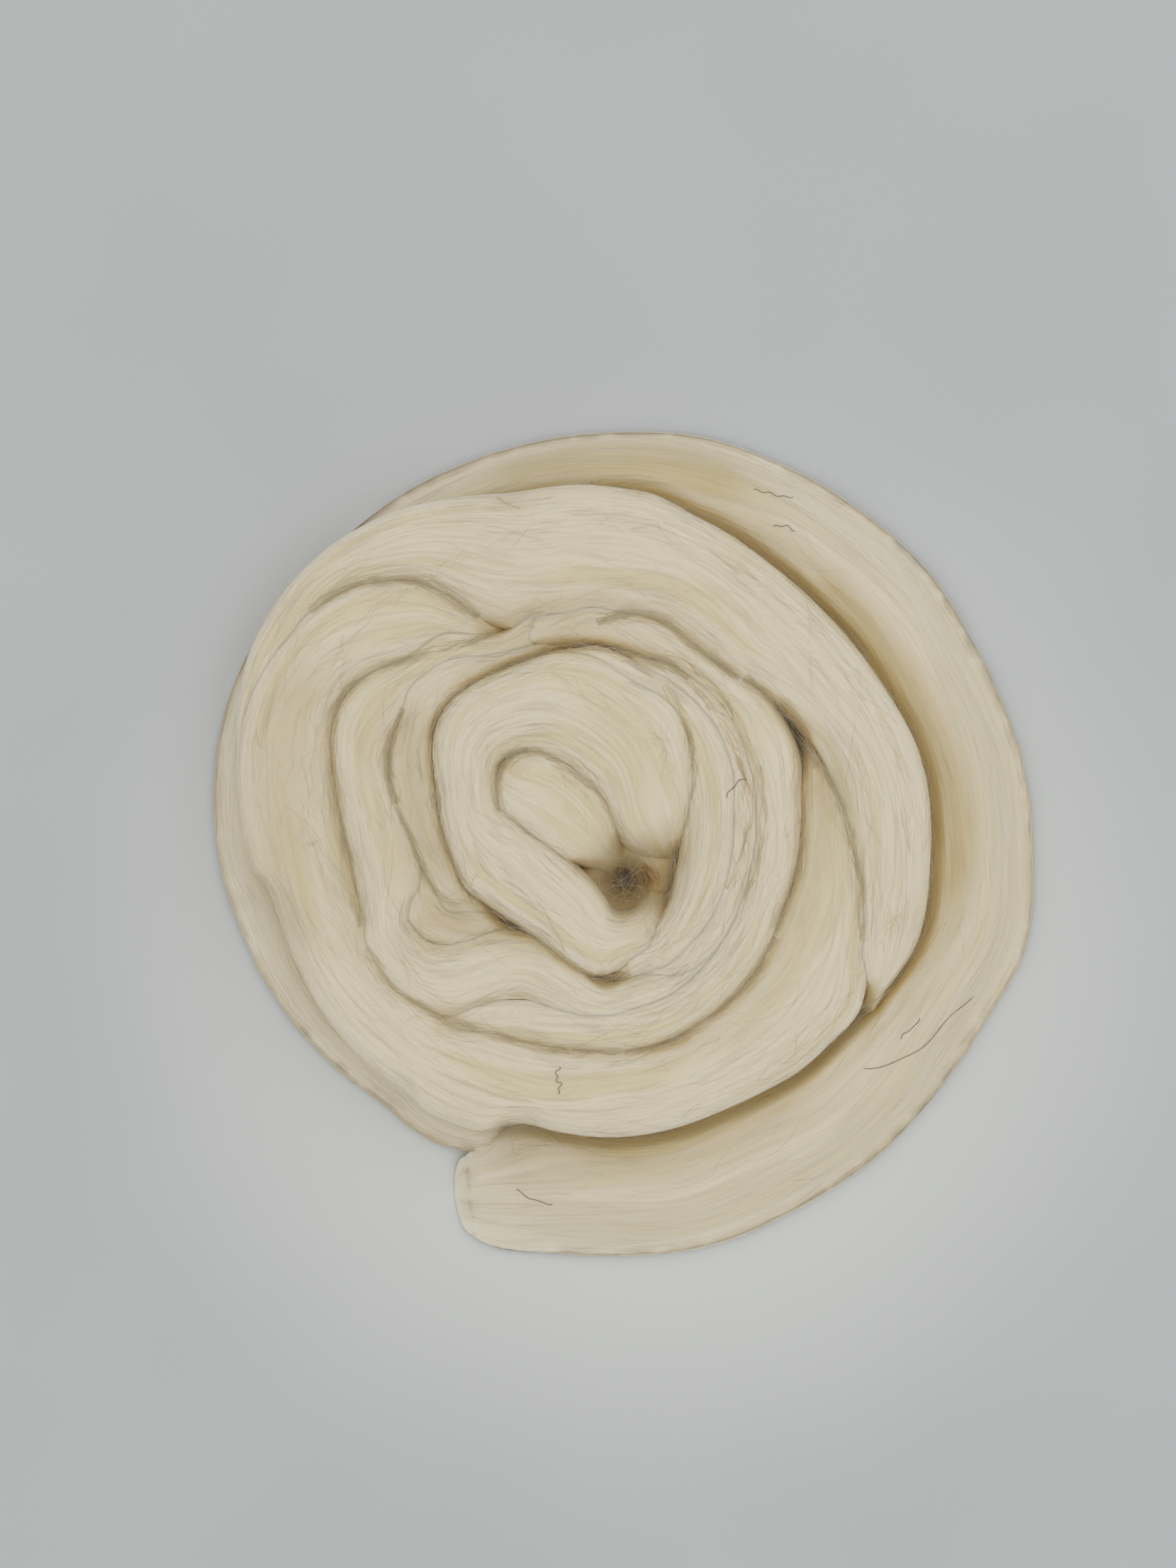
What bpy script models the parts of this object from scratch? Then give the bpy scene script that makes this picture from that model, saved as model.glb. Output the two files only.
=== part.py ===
"""Wool roving: one length of combed wool, wound by hand into a loose flat nest.

Two solids make it up. "coil" is the wound form with its main turns and folds.
"loose_end" is the outermost turn, which lies round the coil on the surface and
ends in a torn tail. Lengths in the tables are millimetres; the model is metres.
"""

from collections import namedtuple
import math

import bmesh
import bpy
from mathutils import Matrix, Vector

MM = 0.001
UP = Vector((0.0, 0.0, 1.0))

# Driving dimensions, in millimetres
CLEARANCE = 0.3  # between the loose end and the coil
FRAME_X, FRAME_Y = -1.6, 0.3  # where the tables' coordinates have the model's origin
EYE_X, EYE_Y = -1.5, -10.3  # the open eye that the turns are wound round
EYE_FLOOR = 11.0  # height of the wool at the bottom of the eye
EYE_TOP = 31.0
EYE_RADIUS_LOW = 4.5
EYE_RADIUS_HIGH = 7.5
BROAD_SPACING = 9.0  # between the sections of a broad turn
FINE_SPACING = 6.0  # between the sections of a narrow one
FULLNESS = 0.75  # below 1 a section is fuller than an ellipse
NOSE_SIZE = 0.55  # the last section of a rounded end, against its neighbour
NOSE_REACH = 0.3  # how far it stands out, against the turn's thickness
TABLE_SIZE = 400.0
SLIVER = 0.02  # points nearer than this are merged

FRAME = Vector((FRAME_X, FRAME_Y, 0.0))

CREAM = (0.72, 0.66, 0.52, 1.0)
SHADED_CREAM = (0.66, 0.60, 0.46, 1.0)

Row = namedtuple("Row", "x y top width thick")
Ring = namedtuple("Ring", "z x y reach_x reach_y")
Turn = namedtuple("Turn", "sides spacing lean rows")

# A row is a section of the strand: its middle, its height and its size there. A turn
# leans, in degrees, away from the eye.

# Where the outermost turn goes under the coil: the loose end is cut off here.
SEAM = Row(-57.4, 86.6, 14, 26, 20)

# The outermost turn, from its torn tail anticlockwise, and on under the coil's left
# side. Its thickness reaches below the surface, which cuts it flat.
OUTER_TURN = Turn(16, BROAD_SPACING, 0, [
    Row(-48.6, -99.3, 1, 10, 1.8),
    Row(-46.8, -99.2, 2, 19, 3.6),
    Row(-43.5, -99, 3.6, 26.5, 6.6),
    Row(-38.5, -98.6, 6, 31, 10),
    Row(-31, -98, 8.8, 34, 14.5),
    Row(-20, -97.2, 12, 36.5, 18),
    Row(-6, -96.5, 14.5, 39, 22),
    Row(14, -94.5, 15, 40, 22),
    Row(32, -87.5, 15.5, 41, 23),
    Row(55.5, -73.3, 16, 40.5, 23),
    Row(72.4, -55.4, 15.5, 40, 23),
    Row(85, -37.6, 15, 38.5, 22),
    Row(93, -23.5, 14.5, 39, 22),
    Row(94.5, -9, 15, 38, 22),
    Row(94, 8, 15.5, 37.5, 23),
    Row(91, 23.5, 15.5, 37, 23),
    Row(84, 41, 15, 36.5, 22),
    Row(75, 57.5, 15, 36, 22),
    Row(66.5, 68.5, 15, 36.5, 22),
    Row(49, 83.5, 15, 34.5, 22),
    Row(33.5, 92.5, 14.5, 33, 22),
    Row(17, 99, 14.5, 31, 22),
    Row(0, 101.5, 15, 28, 22),
    Row(-20, 100.2, 15, 27, 22),
    Row(-39.5, 95.2, 14, 26, 20),
    SEAM,
    Row(-74.8, 73.9, 13, 25, 19),
    Row(-89, 57.8, 13, 26, 19),
    Row(-97.6, 41.4, 13, 27.5, 19),
    Row(-101.4, 25, 13, 28.5, 19),
    Row(-102, 8, 13, 29, 19),
    Row(-99, -10, 13, 29, 19),
    Row(-93.3, -26.7, 13, 28, 19),
    Row(-83.8, -43, 13, 27, 19),
    Row(-72.3, -55.5, 13, 26.5, 19),
    Row(-60.5, -64.3, 12.5, 26, 18),
    Row(-48.5, -70.3, 11.5, 24, 16),
    Row(-40, -72.6, 10.5, 18, 14),
])

TURNS = {
    "top_turn": Turn(16, BROAD_SPACING, 9, [
        Row(-105, 26, 22, 6, 8),
        Row(-103, 38, 24, 9, 10),
        Row(-98, 52, 25, 12, 11),
        Row(-89, 65, 26, 14, 12),
        Row(-76, 75.5, 27, 17, 13),
        Row(-60, 81.5, 28, 21, 14),
        Row(-45, 81, 28, 29, 15),
        Row(-30, 79, 29, 35, 16),
        Row(-12, 80, 30, 37, 17),
        Row(5, 79, 30, 35, 17),
        Row(21.5, 72, 30, 32, 17),
        Row(39.5, 58, 30, 29.5, 17),
        Row(59, 36, 30, 27, 17),
        Row(68, 17.3, 29, 25, 16),
        Row(71.5, 0, 28, 22, 16),
        Row(72, -11, 27, 19, 15),
        Row(71.2, -20, 26, 16, 14),
        Row(70, -28, 25, 12, 13),
        Row(67, -35, 22.5, 8, 11),
        Row(63.5, -42, 19, 5, 9),
    ]),
    "lower_turn": Turn(16, BROAD_SPACING, 7, [
        Row(50, 34, 20, 14, 10),
        Row(52.5, 20, 23, 18, 12),
        Row(55, 5, 25, 21, 13),
        Row(55.5, -10, 26, 24, 14),
        Row(53, -23, 27, 28, 15),
        Row(47, -35, 28, 31, 16),
        Row(38, -46, 28, 31, 16),
        Row(25, -56, 28, 30, 16),
        Row(10, -63, 28, 29, 16),
        Row(-5, -66.5, 28, 27, 16),
        Row(-20, -68, 28, 27, 16),
        Row(-35, -65.5, 28, 28, 16),
        Row(-50, -59.5, 28, 29, 16),
        Row(-64, -50, 28, 29, 16),
        Row(-76, -37, 28, 28, 16),
        Row(-85, -22, 27, 27, 16),
        Row(-90, -5, 27, 27, 16),
        Row(-94, 12, 27, 27, 16),
        Row(-94.5, 28, 27, 26, 16),
        Row(-91, 42, 27, 24, 15),
        Row(-83.5, 52.5, 27, 22, 14),
        Row(-72, 59, 27, 22, 14),
        Row(-59, 62, 26, 21, 14),
        Row(-47, 61.5, 24, 17, 12),
        Row(-37, 61, 22, 12, 10),
    ]),
    "wave_turn": Turn(12, FINE_SPACING, 5, [
        Row(-22, 59, 24, 12, 12),
        Row(-36, 56, 25, 14, 12),
        Row(-50, 51, 26, 16, 12),
        Row(-63, 45, 27, 17, 13),
        Row(-72, 37, 28, 18, 14),
        Row(-76, 25, 29, 17.5, 14),
        Row(-72.5, 10, 30, 20.5, 15),
        Row(-69.5, -2, 30, 21.5, 15),
        Row(-67.8, -12, 30, 21.5, 15),
        Row(-68.5, -20, 30, 17.5, 15),
        Row(-65.3, -28, 30, 16.5, 15),
        Row(-60, -34, 30, 16.5, 15),
        Row(-52.5, -36.6, 30, 17, 15),
        Row(-45, -35.8, 30.5, 18.5, 15),
        Row(-37, -33, 31, 20, 15),
        Row(-29, -32, 31, 19.5, 15),
        Row(-20, -36.5, 31, 17, 15),
        Row(-10, -41.8, 31, 14, 14),
        Row(0, -42.5, 31, 11, 13),
        Row(10, -38.5, 31, 10, 12),
        Row(18.5, -31, 31, 9, 12),
        Row(25, -20.5, 31, 7.5, 12),
    ]),
    "side_turn": Turn(12, FINE_SPACING, 8, [
        Row(-56, -41, 20, 6, 8),
        Row(-48, -45.5, 25, 9, 10),
        Row(-37, -47.5, 28, 12, 12),
        Row(-25, -49, 29, 14.5, 13),
        Row(-12, -49.5, 30, 15.5, 14),
        Row(0, -49, 31, 14.5, 15),
        Row(12, -45.5, 31.5, 14.5, 15),
        Row(23, -38, 32, 15, 15),
        Row(31, -27, 32, 14, 15),
        Row(37.5, -14, 32, 13, 15),
        Row(41, 0, 32, 12.5, 15),
        Row(41.5, 13, 31, 12, 15),
        Row(39, 26, 30, 12, 14),
        Row(33, 37.5, 29, 12, 14),
        Row(24, 46.5, 28, 12, 13),
        Row(12, 54.5, 27, 12, 12),
        Row(-2, 59, 26, 13.5, 12),
        Row(-18, 58.5, 25, 14, 11),
        Row(-32, 56, 24, 12, 11),
    ]),
    "thin_turn": Turn(8, FINE_SPACING, 5, [
        Row(-2, 53, 26, 4, 8),
        Row(7, 50.7, 29.5, 5, 9),
        Row(15, 46.8, 31, 6, 10),
        Row(22.5, 40.5, 31.8, 6.8, 11),
        Row(28.5, 32, 32.2, 7, 11),
        Row(32.3, 21, 32.6, 7, 11),
        Row(33.3, 10, 33, 7, 11),
        Row(32, -1.5, 33, 7, 11),
        Row(28.3, -12.5, 33, 7.5, 12),
        Row(21, -25, 32.5, 8.5, 12),
        Row(14, -31.5, 31.5, 9.5, 12),
        Row(5, -37, 29, 8, 12),
        Row(-5, -39.5, 25, 6, 10),
    ]),
    "ring_turn": Turn(12, FINE_SPACING, 4, [
        Row(-22, 51, 27, 6, 9),
        Row(-14, 49.5, 31, 10, 12),
        Row(-6.5, 47, 33, 13, 13),
        Row(3, 43, 34, 17, 14),
        Row(12.2, 35.5, 34.5, 20, 15),
        Row(18.7, 25, 35, 21, 16),
        Row(21.3, 12, 35, 21.5, 16),
        Row(20.8, 1.5, 35, 21, 16),
        Row(19, -7, 35, 20, 16),
        Row(16.5, -14.5, 34.5, 17.5, 15),
        Row(12, -22, 34, 15, 15),
        Row(6.7, -28.5, 33, 12.5, 14),
        Row(0, -33, 31, 9, 12),
        Row(-7, -36.5, 27, 5, 10),
    ]),
    "heart_turn": Turn(14, FINE_SPACING, 0, [
        Row(7.2, -1.5, 22, 10, 10),
        Row(6.6, 1.5, 28, 13, 12),
        Row(5.5, 6.5, 33, 17, 15),
        Row(3, 13.5, 36.5, 21.5, 16),
        Row(-2, 22.5, 38.5, 27.5, 17),
        Row(-9.5, 30.5, 39, 31, 18),
        Row(-20, 37, 39, 29, 18),
        Row(-31, 37.5, 38, 25.5, 17),
        Row(-41, 33, 37, 22, 16),
        Row(-45.5, 25.5, 37, 19, 16),
        Row(-45.5, 15.5, 37, 18.5, 16),
        Row(-43.5, 5.5, 37, 19.5, 16),
        Row(-37, -2, 36, 22, 16),
        Row(-27.5, -10, 36, 24, 16),
        Row(-18.5, -17, 36, 22.5, 16),
        Row(-12.5, -23.5, 36, 20.5, 16),
        Row(-6, -26.5, 35.5, 19, 16),
        Row(0, -24, 34, 13.5, 14),
        Row(4.5, -18.5, 30, 9.5, 13),
        Row(7.2, -12, 22.5, 7, 10),
        Row(8.3, -7, 15, 5.5, 8),
    ]),
    "tongue": Turn(12, FINE_SPACING, 0, [
        Row(-42, 22.5, 29, 13, 12),
        Row(-37, 19.5, 34, 20, 15),
        Row(-30.5, 16, 36.5, 25, 17),
        Row(-22.5, 12, 37, 26, 17),
        Row(-14.5, 6.5, 36.5, 24, 17),
        Row(-8.5, 1.5, 34.5, 19.5, 16),
        Row(-5, -2, 29, 14.5, 13),
        Row(-3, -4.5, 21, 10, 10),
    ]),
    "fold": Turn(10, FINE_SPACING, 4, [
        Row(-8, 54, 21, 5, 9),
        Row(-22, 53.5, 25, 7, 10),
        Row(-37, 50, 27, 9, 11),
        Row(-50, 45, 28, 12.5, 12),
        Row(-58.5, 36, 29, 14.5, 13),
        Row(-61, 25, 29.5, 15.5, 14),
        Row(-59.5, 12, 29.5, 13, 13),
        Row(-56, 1, 29, 12, 13),
        Row(-51.5, -8, 28.5, 12.5, 13),
        Row(-45, -14.5, 27, 12.5, 12),
        Row(-36.5, -20, 25, 9, 10),
        Row(-28, -25, 21, 6, 8),
    ]),
    "pocket": Turn(8, FINE_SPACING, 0, [
        Row(-63, 2, 19, 8, 9),
        Row(-62, -6, 22.5, 12, 10),
        Row(-59, -14, 24, 15, 11),
        Row(-53.5, -20, 25, 16, 11),
        Row(-46.5, -22, 25, 15, 11),
        Row(-39, -22.5, 24, 11, 10),
        Row(-31, -24.5, 21, 7, 8),
    ]),
}

# The wool wound underneath, which carries the turns that show.
BED = [
    Ring(-3, -8, 10, 88, 84),
    Ring(9, -8, 10, 88, 84),
    Ring(16, -10, 8, 80, 78),
    Ring(21, -10, 4, 66, 62),
    Ring(24, -9, -1, 50, 46),
]
BED_SIDES = 40


def clear_objects():
    """Remove every object that the open file holds."""
    for obj in list(bpy.data.objects):
        bpy.data.objects.remove(obj, do_unlink=True)


def make_collection(name):
    """Add a collection under the scene's own."""
    collection = bpy.data.collections.new(name)
    bpy.context.scene.collection.children.link(collection)
    return collection


def make_material(name, colour):
    """A matt wool finish in one colour."""
    material = bpy.data.materials.new(name)
    material.use_nodes = True
    shader = material.node_tree.nodes["Principled BSDF"]
    shader.inputs["Base Color"].default_value = colour
    shader.inputs["Roughness"].default_value = 0.9
    shader.inputs["Metallic"].default_value = 0.0
    material.diffuse_color = colour
    return material


def between(before, start, end, after, share):
    """A Catmull-Rom value between two rows, column by column."""
    values = []
    for a, b, c, d in zip(before, start, end, after):
        bend = 2 * a - 5 * b + 4 * c - d
        twist = 3 * b - 3 * c + d - a
        values.append(b + 0.5 * share * (c - a + share * (bend + share * twist)))
    return Row(*values)


def smoothed(turn):
    """The turn's rows with smooth ones added between them, at its spacing."""
    rows = turn.rows
    first = Row(*(2 * a - b for a, b in zip(rows[0], rows[1])))
    last = Row(*(2 * a - b for a, b in zip(rows[-1], rows[-2])))
    padded = [first, *rows, last]
    result = []
    for index in range(1, len(padded) - 2):
        before, start, end, after = padded[index - 1:index + 3]
        count = max(1, round(math.hypot(end.x - start.x, end.y - start.y) / turn.spacing))
        for step in range(count):
            result.append(between(before, start, end, after, step / count))
    result.append(rows[-1])
    return result


def headings(rows):
    """The direction of travel at each row, level with the surface."""
    result = []
    for index, row in enumerate(rows):
        before = rows[max(index - 1, 0)]
        after = rows[min(index + 1, len(rows) - 1)]
        result.append(Vector((after.x - before.x, after.y - before.y, 0.0)).normalized())
    return result


def full(value):
    """A cosine or sine, filled out towards plus or minus one."""
    return math.copysign(abs(value) ** FULLNESS, value)


def section(row, heading, turn, grow):
    """The points round one section, an oval a little fuller than an ellipse."""
    across = Vector((-heading.y, heading.x, 0.0))
    outward = Vector((row.x - EYE_X, row.y - EYE_Y, 0.0)).normalized()
    lean = Matrix.Rotation(math.radians(turn.lean) * across.dot(outward), 3, heading)
    middle = Vector((row.x, row.y, row.top - row.thick / 2))
    points = []
    for side in range(turn.sides):
        angle = 2 * math.pi * (side + 0.5) / turn.sides
        reach = full(math.cos(angle)) * (row.width / 2 + grow)
        lift = full(math.sin(angle)) * (row.thick / 2 + grow)
        points.append(middle + lean @ (across * reach + UP * lift))
    return points


def sections(turn, grow=0.0):
    """The rows of a smoothed turn, its headings and the points round each section."""
    rows = smoothed(turn)
    ways = headings(rows)
    return rows, ways, [section(row, way, turn, grow) for row, way in zip(rows, ways)]


def nose(ring, heading, thick):
    """A smaller section beyond an end one, which rounds that end off."""
    middle = sum(ring, Vector()) / len(ring)
    tip = middle + heading * thick * NOSE_REACH
    return [tip + (point - middle) * NOSE_SIZE for point in ring]


def skin(name, rings):
    """A closed mesh object through rings of points, with its ends fanned shut."""
    mesh = bmesh.new()
    loops = [[mesh.verts.new((point - FRAME) * MM) for point in ring] for ring in rings]
    for near, far in zip(loops, loops[1:]):
        for side in range(len(near)):
            turn = (side + 1) % len(near)
            mesh.faces.new((near[side], near[turn], far[turn], far[side]))
    for ring in (loops[0], loops[-1]):
        hub = mesh.verts.new(sum((vert.co for vert in ring), Vector()) / len(ring))
        for side in range(len(ring)):
            mesh.faces.new((ring[side], ring[(side + 1) % len(ring)], hub))
    bmesh.ops.triangulate(mesh, faces=mesh.faces)
    bmesh.ops.recalc_face_normals(mesh, faces=mesh.faces)
    data = bpy.data.meshes.new(name)
    mesh.to_mesh(data)
    mesh.free()
    return bpy.data.objects.new(name, data)


def swept(name, turn, grow=0.0):
    """A whole turn of the strand with rounded ends; grow thickens it."""
    rows, ways, rings = sections(turn, grow)
    rings.insert(0, nose(rings[0], -ways[0], rows[0].thick))
    rings.append(nose(rings[-1], ways[-1], rows[-1].thick))
    return skin(name, rings)


def swept_to_seam(name):
    """The outermost turn from its tail to the seam."""
    rows, ways, rings = sections(OUTER_TURN)
    tip = nose(rings[0], -ways[0], rows[0].thick)
    return skin(name, [tip, *rings[:rows.index(SEAM) + 1]])


def swept_from_seam(name):
    """The outermost turn beyond the seam, starting the clearance away from it."""
    rows, ways, rings = sections(OUTER_TURN)
    seam = rows.index(SEAM)
    start = [point + ways[seam] * CLEARANCE for point in rings[seam]]
    tip = nose(rings[-1], ways[-1], rows[-1].thick)
    return skin(name, [start, *rings[seam + 1:], tip])


def lump(name, rings, grow=0.0):
    """A closed form of level oval rings, one above another."""
    loops = []
    for ring in rings:
        loop = []
        for side in range(BED_SIDES):
            angle = 2 * math.pi * side / BED_SIDES
            x = ring.x + math.cos(angle) * (ring.reach_x + grow)
            y = ring.y + math.sin(angle) * (ring.reach_y + grow)
            loop.append(Vector((x, y, ring.z + grow)))
        loops.append(loop)
    return skin(name, loops)


def eye_cutter():
    """The tapered plug that keeps the eye of the coil open."""
    middle = Vector((EYE_X, EYE_Y, (EYE_FLOOR + EYE_TOP) / 2)) - FRAME
    bpy.ops.mesh.primitive_cone_add(
        vertices=14,
        radius1=EYE_RADIUS_LOW * MM,
        radius2=EYE_RADIUS_HIGH * MM,
        depth=(EYE_TOP - EYE_FLOOR) * MM,
        location=middle * MM,
    )
    plug = bpy.context.active_object
    plug.name = "eye_plug"
    return plug


def table_cutter():
    """The block below the surface, which cuts the wool flat where it rests."""
    bpy.ops.mesh.primitive_cube_add(size=TABLE_SIZE * MM, location=(0, 0, -TABLE_SIZE / 2 * MM))
    block = bpy.context.active_object
    block.name = "table_block"
    return block


def as_cutters(objects, collection):
    """Put objects in a cutter collection, where they neither show nor render."""
    for obj in objects:
        for owner in list(obj.users_collection):
            owner.objects.unlink(obj)
        collection.objects.link(obj)
        obj.hide_render = True
        obj.display_type = "WIRE"


def combine(obj, name, operation, operand):
    """Add an exact Boolean with one object or a collection of them."""
    modifier = obj.modifiers.new(name, "BOOLEAN")
    modifier.operation = operation
    modifier.solver = "EXACT"
    modifier.use_self = True
    if isinstance(operand, bpy.types.Collection):
        modifier.operand_type = "COLLECTION"
        modifier.collection = operand
    else:
        modifier.object = operand


def shells(mesh):
    """The separate closed surfaces of a mesh, each as a list of faces."""
    left = set(mesh.faces)
    found = []
    while left:
        front = [left.pop()]
        shell = []
        while front:
            face = front.pop()
            shell.append(face)
            for near in {other for edge in face.edges for other in edge.link_faces} & left:
                left.remove(near)
                front.append(near)
        found.append(shell)
    return found


def settle(obj):
    """Make the cut form the object's own mesh, its slivers merged and sealed pockets filled."""
    depsgraph = bpy.context.evaluated_depsgraph_get()
    cut = bpy.data.meshes.new_from_object(obj.evaluated_get(depsgraph))
    mesh = bmesh.new()
    mesh.from_mesh(cut)
    bmesh.ops.remove_doubles(mesh, verts=mesh.verts, dist=SLIVER * MM)
    bmesh.ops.triangulate(mesh, faces=mesh.faces)
    pockets = sorted(shells(mesh), key=len)[:-1]
    bmesh.ops.delete(mesh, geom=[face for shell in pockets for face in shell], context="FACES")
    obj.modifiers.clear()
    mesh.to_mesh(obj.data)
    mesh.free()
    bpy.data.meshes.remove(cut)


def finish(obj, material, collection):
    """Give a part its material, smooth shading and collection."""
    obj.data.materials.append(material)
    obj.data.shade_smooth()
    collection.objects.link(obj)


def coil_turns(grow=0.0):
    """The turns of the coil that show from above."""
    return [swept(name, turn, grow) for name, turn in TURNS.items()]


def make_coil(parts, turns, cutters):
    """The wound form: the bed with every turn joined to it, the eye and the base cut."""
    coil = lump("coil", BED)
    as_cutters([swept_from_seam("under_turn"), *coil_turns()], turns)
    combine(coil, "turns", "UNION", turns)
    combine(coil, "eye", "DIFFERENCE", cutters["eye"])
    combine(coil, "base", "DIFFERENCE", cutters["table"])
    finish(coil, make_material("wool_coil", CREAM), parts)
    settle(coil)
    return coil


def make_loose_end(parts, clear_of, cutters):
    """The outermost turn, kept clear of the coil."""
    loose_end = swept_to_seam("loose_end")
    as_cutters([lump("bed_clear", BED, CLEARANCE), *coil_turns(CLEARANCE)], clear_of)
    combine(loose_end, "clear", "DIFFERENCE", clear_of)
    combine(loose_end, "base", "DIFFERENCE", cutters["table"])
    finish(loose_end, make_material("wool_loose_end", SHADED_CREAM), parts)
    settle(loose_end)
    return loose_end


def main():
    """Build the roving."""
    clear_objects()
    parts = make_collection("wool_roving")
    turns = make_collection("coil_turns")
    clear_of = make_collection("coil_clearance")
    tools = make_collection("plain_cutters")
    cutters = {"eye": eye_cutter(), "table": table_cutter()}
    as_cutters(cutters.values(), tools)
    make_coil(parts, turns, cutters)
    make_loose_end(parts, clear_of, cutters)


main()
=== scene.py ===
"""Looks of the wool roving: one length of combed wool, wound by hand into a loose flat nest.

Each turn of the strand is a fleecy piece with its locks and furrows in the mesh, and a nap
of separate fibres lies along it. Lengths in the tables are millimetres, in the same
coordinates as the construction; the scene is in metres.
"""

import logging
import math
from dataclasses import dataclass
from enum import Enum
from typing import ClassVar, Iterable, NamedTuple, Sequence

import bpy
import numpy as np
from bpy.types import Material, Mesh, Node, NodeSocket, NodeTree, Object
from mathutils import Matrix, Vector
from mathutils.bvhtree import BVHTree
from numpy.random import Generator


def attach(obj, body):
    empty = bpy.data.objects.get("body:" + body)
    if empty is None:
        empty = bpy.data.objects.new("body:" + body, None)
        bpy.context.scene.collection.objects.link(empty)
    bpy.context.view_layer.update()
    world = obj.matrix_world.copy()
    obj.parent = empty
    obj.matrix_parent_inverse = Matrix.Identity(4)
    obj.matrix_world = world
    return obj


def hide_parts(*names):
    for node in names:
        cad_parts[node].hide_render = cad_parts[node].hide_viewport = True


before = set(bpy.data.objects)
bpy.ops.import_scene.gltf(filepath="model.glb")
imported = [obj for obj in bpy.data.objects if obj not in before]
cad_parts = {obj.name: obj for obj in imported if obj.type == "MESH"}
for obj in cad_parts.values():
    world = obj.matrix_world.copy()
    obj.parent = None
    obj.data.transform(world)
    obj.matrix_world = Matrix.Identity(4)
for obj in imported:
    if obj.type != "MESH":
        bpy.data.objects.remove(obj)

LOG = logging.getLogger("wool_roving")

MM = 0.001
BODY = "root"
OUTER_NAME = "outer_turn"
FRAME = np.array([-1.6, 0.3, 0.0])  # where the tables' coordinates have the model's origin
EYE = np.array([-1.5, -10.3])  # the open eye that the turns are wound round
FULLNESS = 0.75  # below 1 a section is fuller than an ellipse
GRAIN_MAP = "strand"  # the UV map that runs along each strand, in millimetres
CREASE_SHADE = "crease_shade"  # painted crease shade: how far a place lies in between its close neighbours, from 0 to 1
SHADE = "shade"  # painted low shade: how far it lies below the wool around it, from 0 to 1
EDGE_LIGHT = "edge_light"  # painted light: how near it lies to the thin hem at the floor, which is painted paler, from 0 to 1
TONE = "tone"  # each fibre's own shade, from 0 to 1
KERATIN_IOR = 1.55
TOP, WIDTH = 2, 3  # columns of a strand's rows, which are a Row's fields
JUST_INSIDE = 1.001  # keeps a place before the last line of a grid
SKY = 80.0  # mm: above all the wool
DOWN = Vector((0.0, 0.0, -1.0))

Line = tuple[tuple[float, float], ...]  # corners seen from above, in millimetres


class Row(NamedTuple):
    """A section of the strand: its middle, its height and its size there."""

    x: float
    y: float
    top: float
    width: float
    thick: float


class Lie(Enum):
    """How a fibre lies on its strand."""

    COMBED = "combed"
    LIFTED = "lifted"
    STRAY = "stray"


class Build(Enum):
    """How fine a turn's surface is: points round a section."""

    BROAD = 96
    FINE = 64


@dataclass(frozen=True)
class Turn:
    """A turn of the strand: its fineness, its lean from the eye in degrees and its rows."""

    build: Build
    lean: float
    rows: tuple[Row, ...]


# The outermost turn, from its torn tail anticlockwise, and on under the coil's left side.
OUTER_TURN = Turn(Build.BROAD, 0, (
    Row(-45.6, -99.2, 3.6, 21, 4.6), Row(-43.5, -99, 4.8, 26.5, 6.6), Row(-38.5, -98.6, 7, 31, 10),
    Row(-31, -98, 8.8, 34, 14.5), Row(-20, -97.2, 12, 36.5, 18), Row(-6, -96.5, 14.5, 39, 22),
    Row(14, -94.5, 15, 40, 22), Row(32, -87.5, 15.5, 41, 23), Row(55.5, -73.3, 16, 40.5, 23),
    Row(72.4, -55.4, 15.5, 40, 23), Row(85, -37.6, 15, 38.5, 22), Row(93, -23.5, 14.5, 39, 22),
    Row(94.5, -9, 15, 38, 22), Row(94, 8, 15.5, 37.5, 23), Row(91, 23.5, 15.5, 37, 23),
    Row(84, 41, 15, 36.5, 22), Row(75, 57.5, 15, 36, 22), Row(66.5, 68.5, 15, 36.5, 22),
    Row(49, 83.5, 15, 34.5, 22), Row(33.5, 92.5, 14.5, 33, 22), Row(17, 99, 14.5, 31, 22),
    Row(0, 101.5, 15, 28, 22), Row(-20, 100.2, 15, 27, 22), Row(-39.5, 95.2, 14, 26, 20),
    Row(-57.4, 86.6, 14, 26, 20), Row(-74.8, 73.9, 13, 25, 19), Row(-89, 57.8, 13, 26, 19),
    Row(-97.6, 41.4, 13, 27.5, 19), Row(-101.4, 25, 13, 28.5, 19), Row(-102, 8, 13, 29, 19),
    Row(-99, -10, 13, 29, 19), Row(-93.3, -26.7, 13, 28, 19), Row(-83.8, -43, 13, 27, 19),
    Row(-72.3, -55.5, 13, 26.5, 19), Row(-60.5, -64.3, 12.5, 26, 18), Row(-48.5, -72, 11, 27, 14),
    Row(-40, -76.5, 8.5, 22, 10), Row(-33.5, -80, 6, 15, 7),
))

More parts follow.
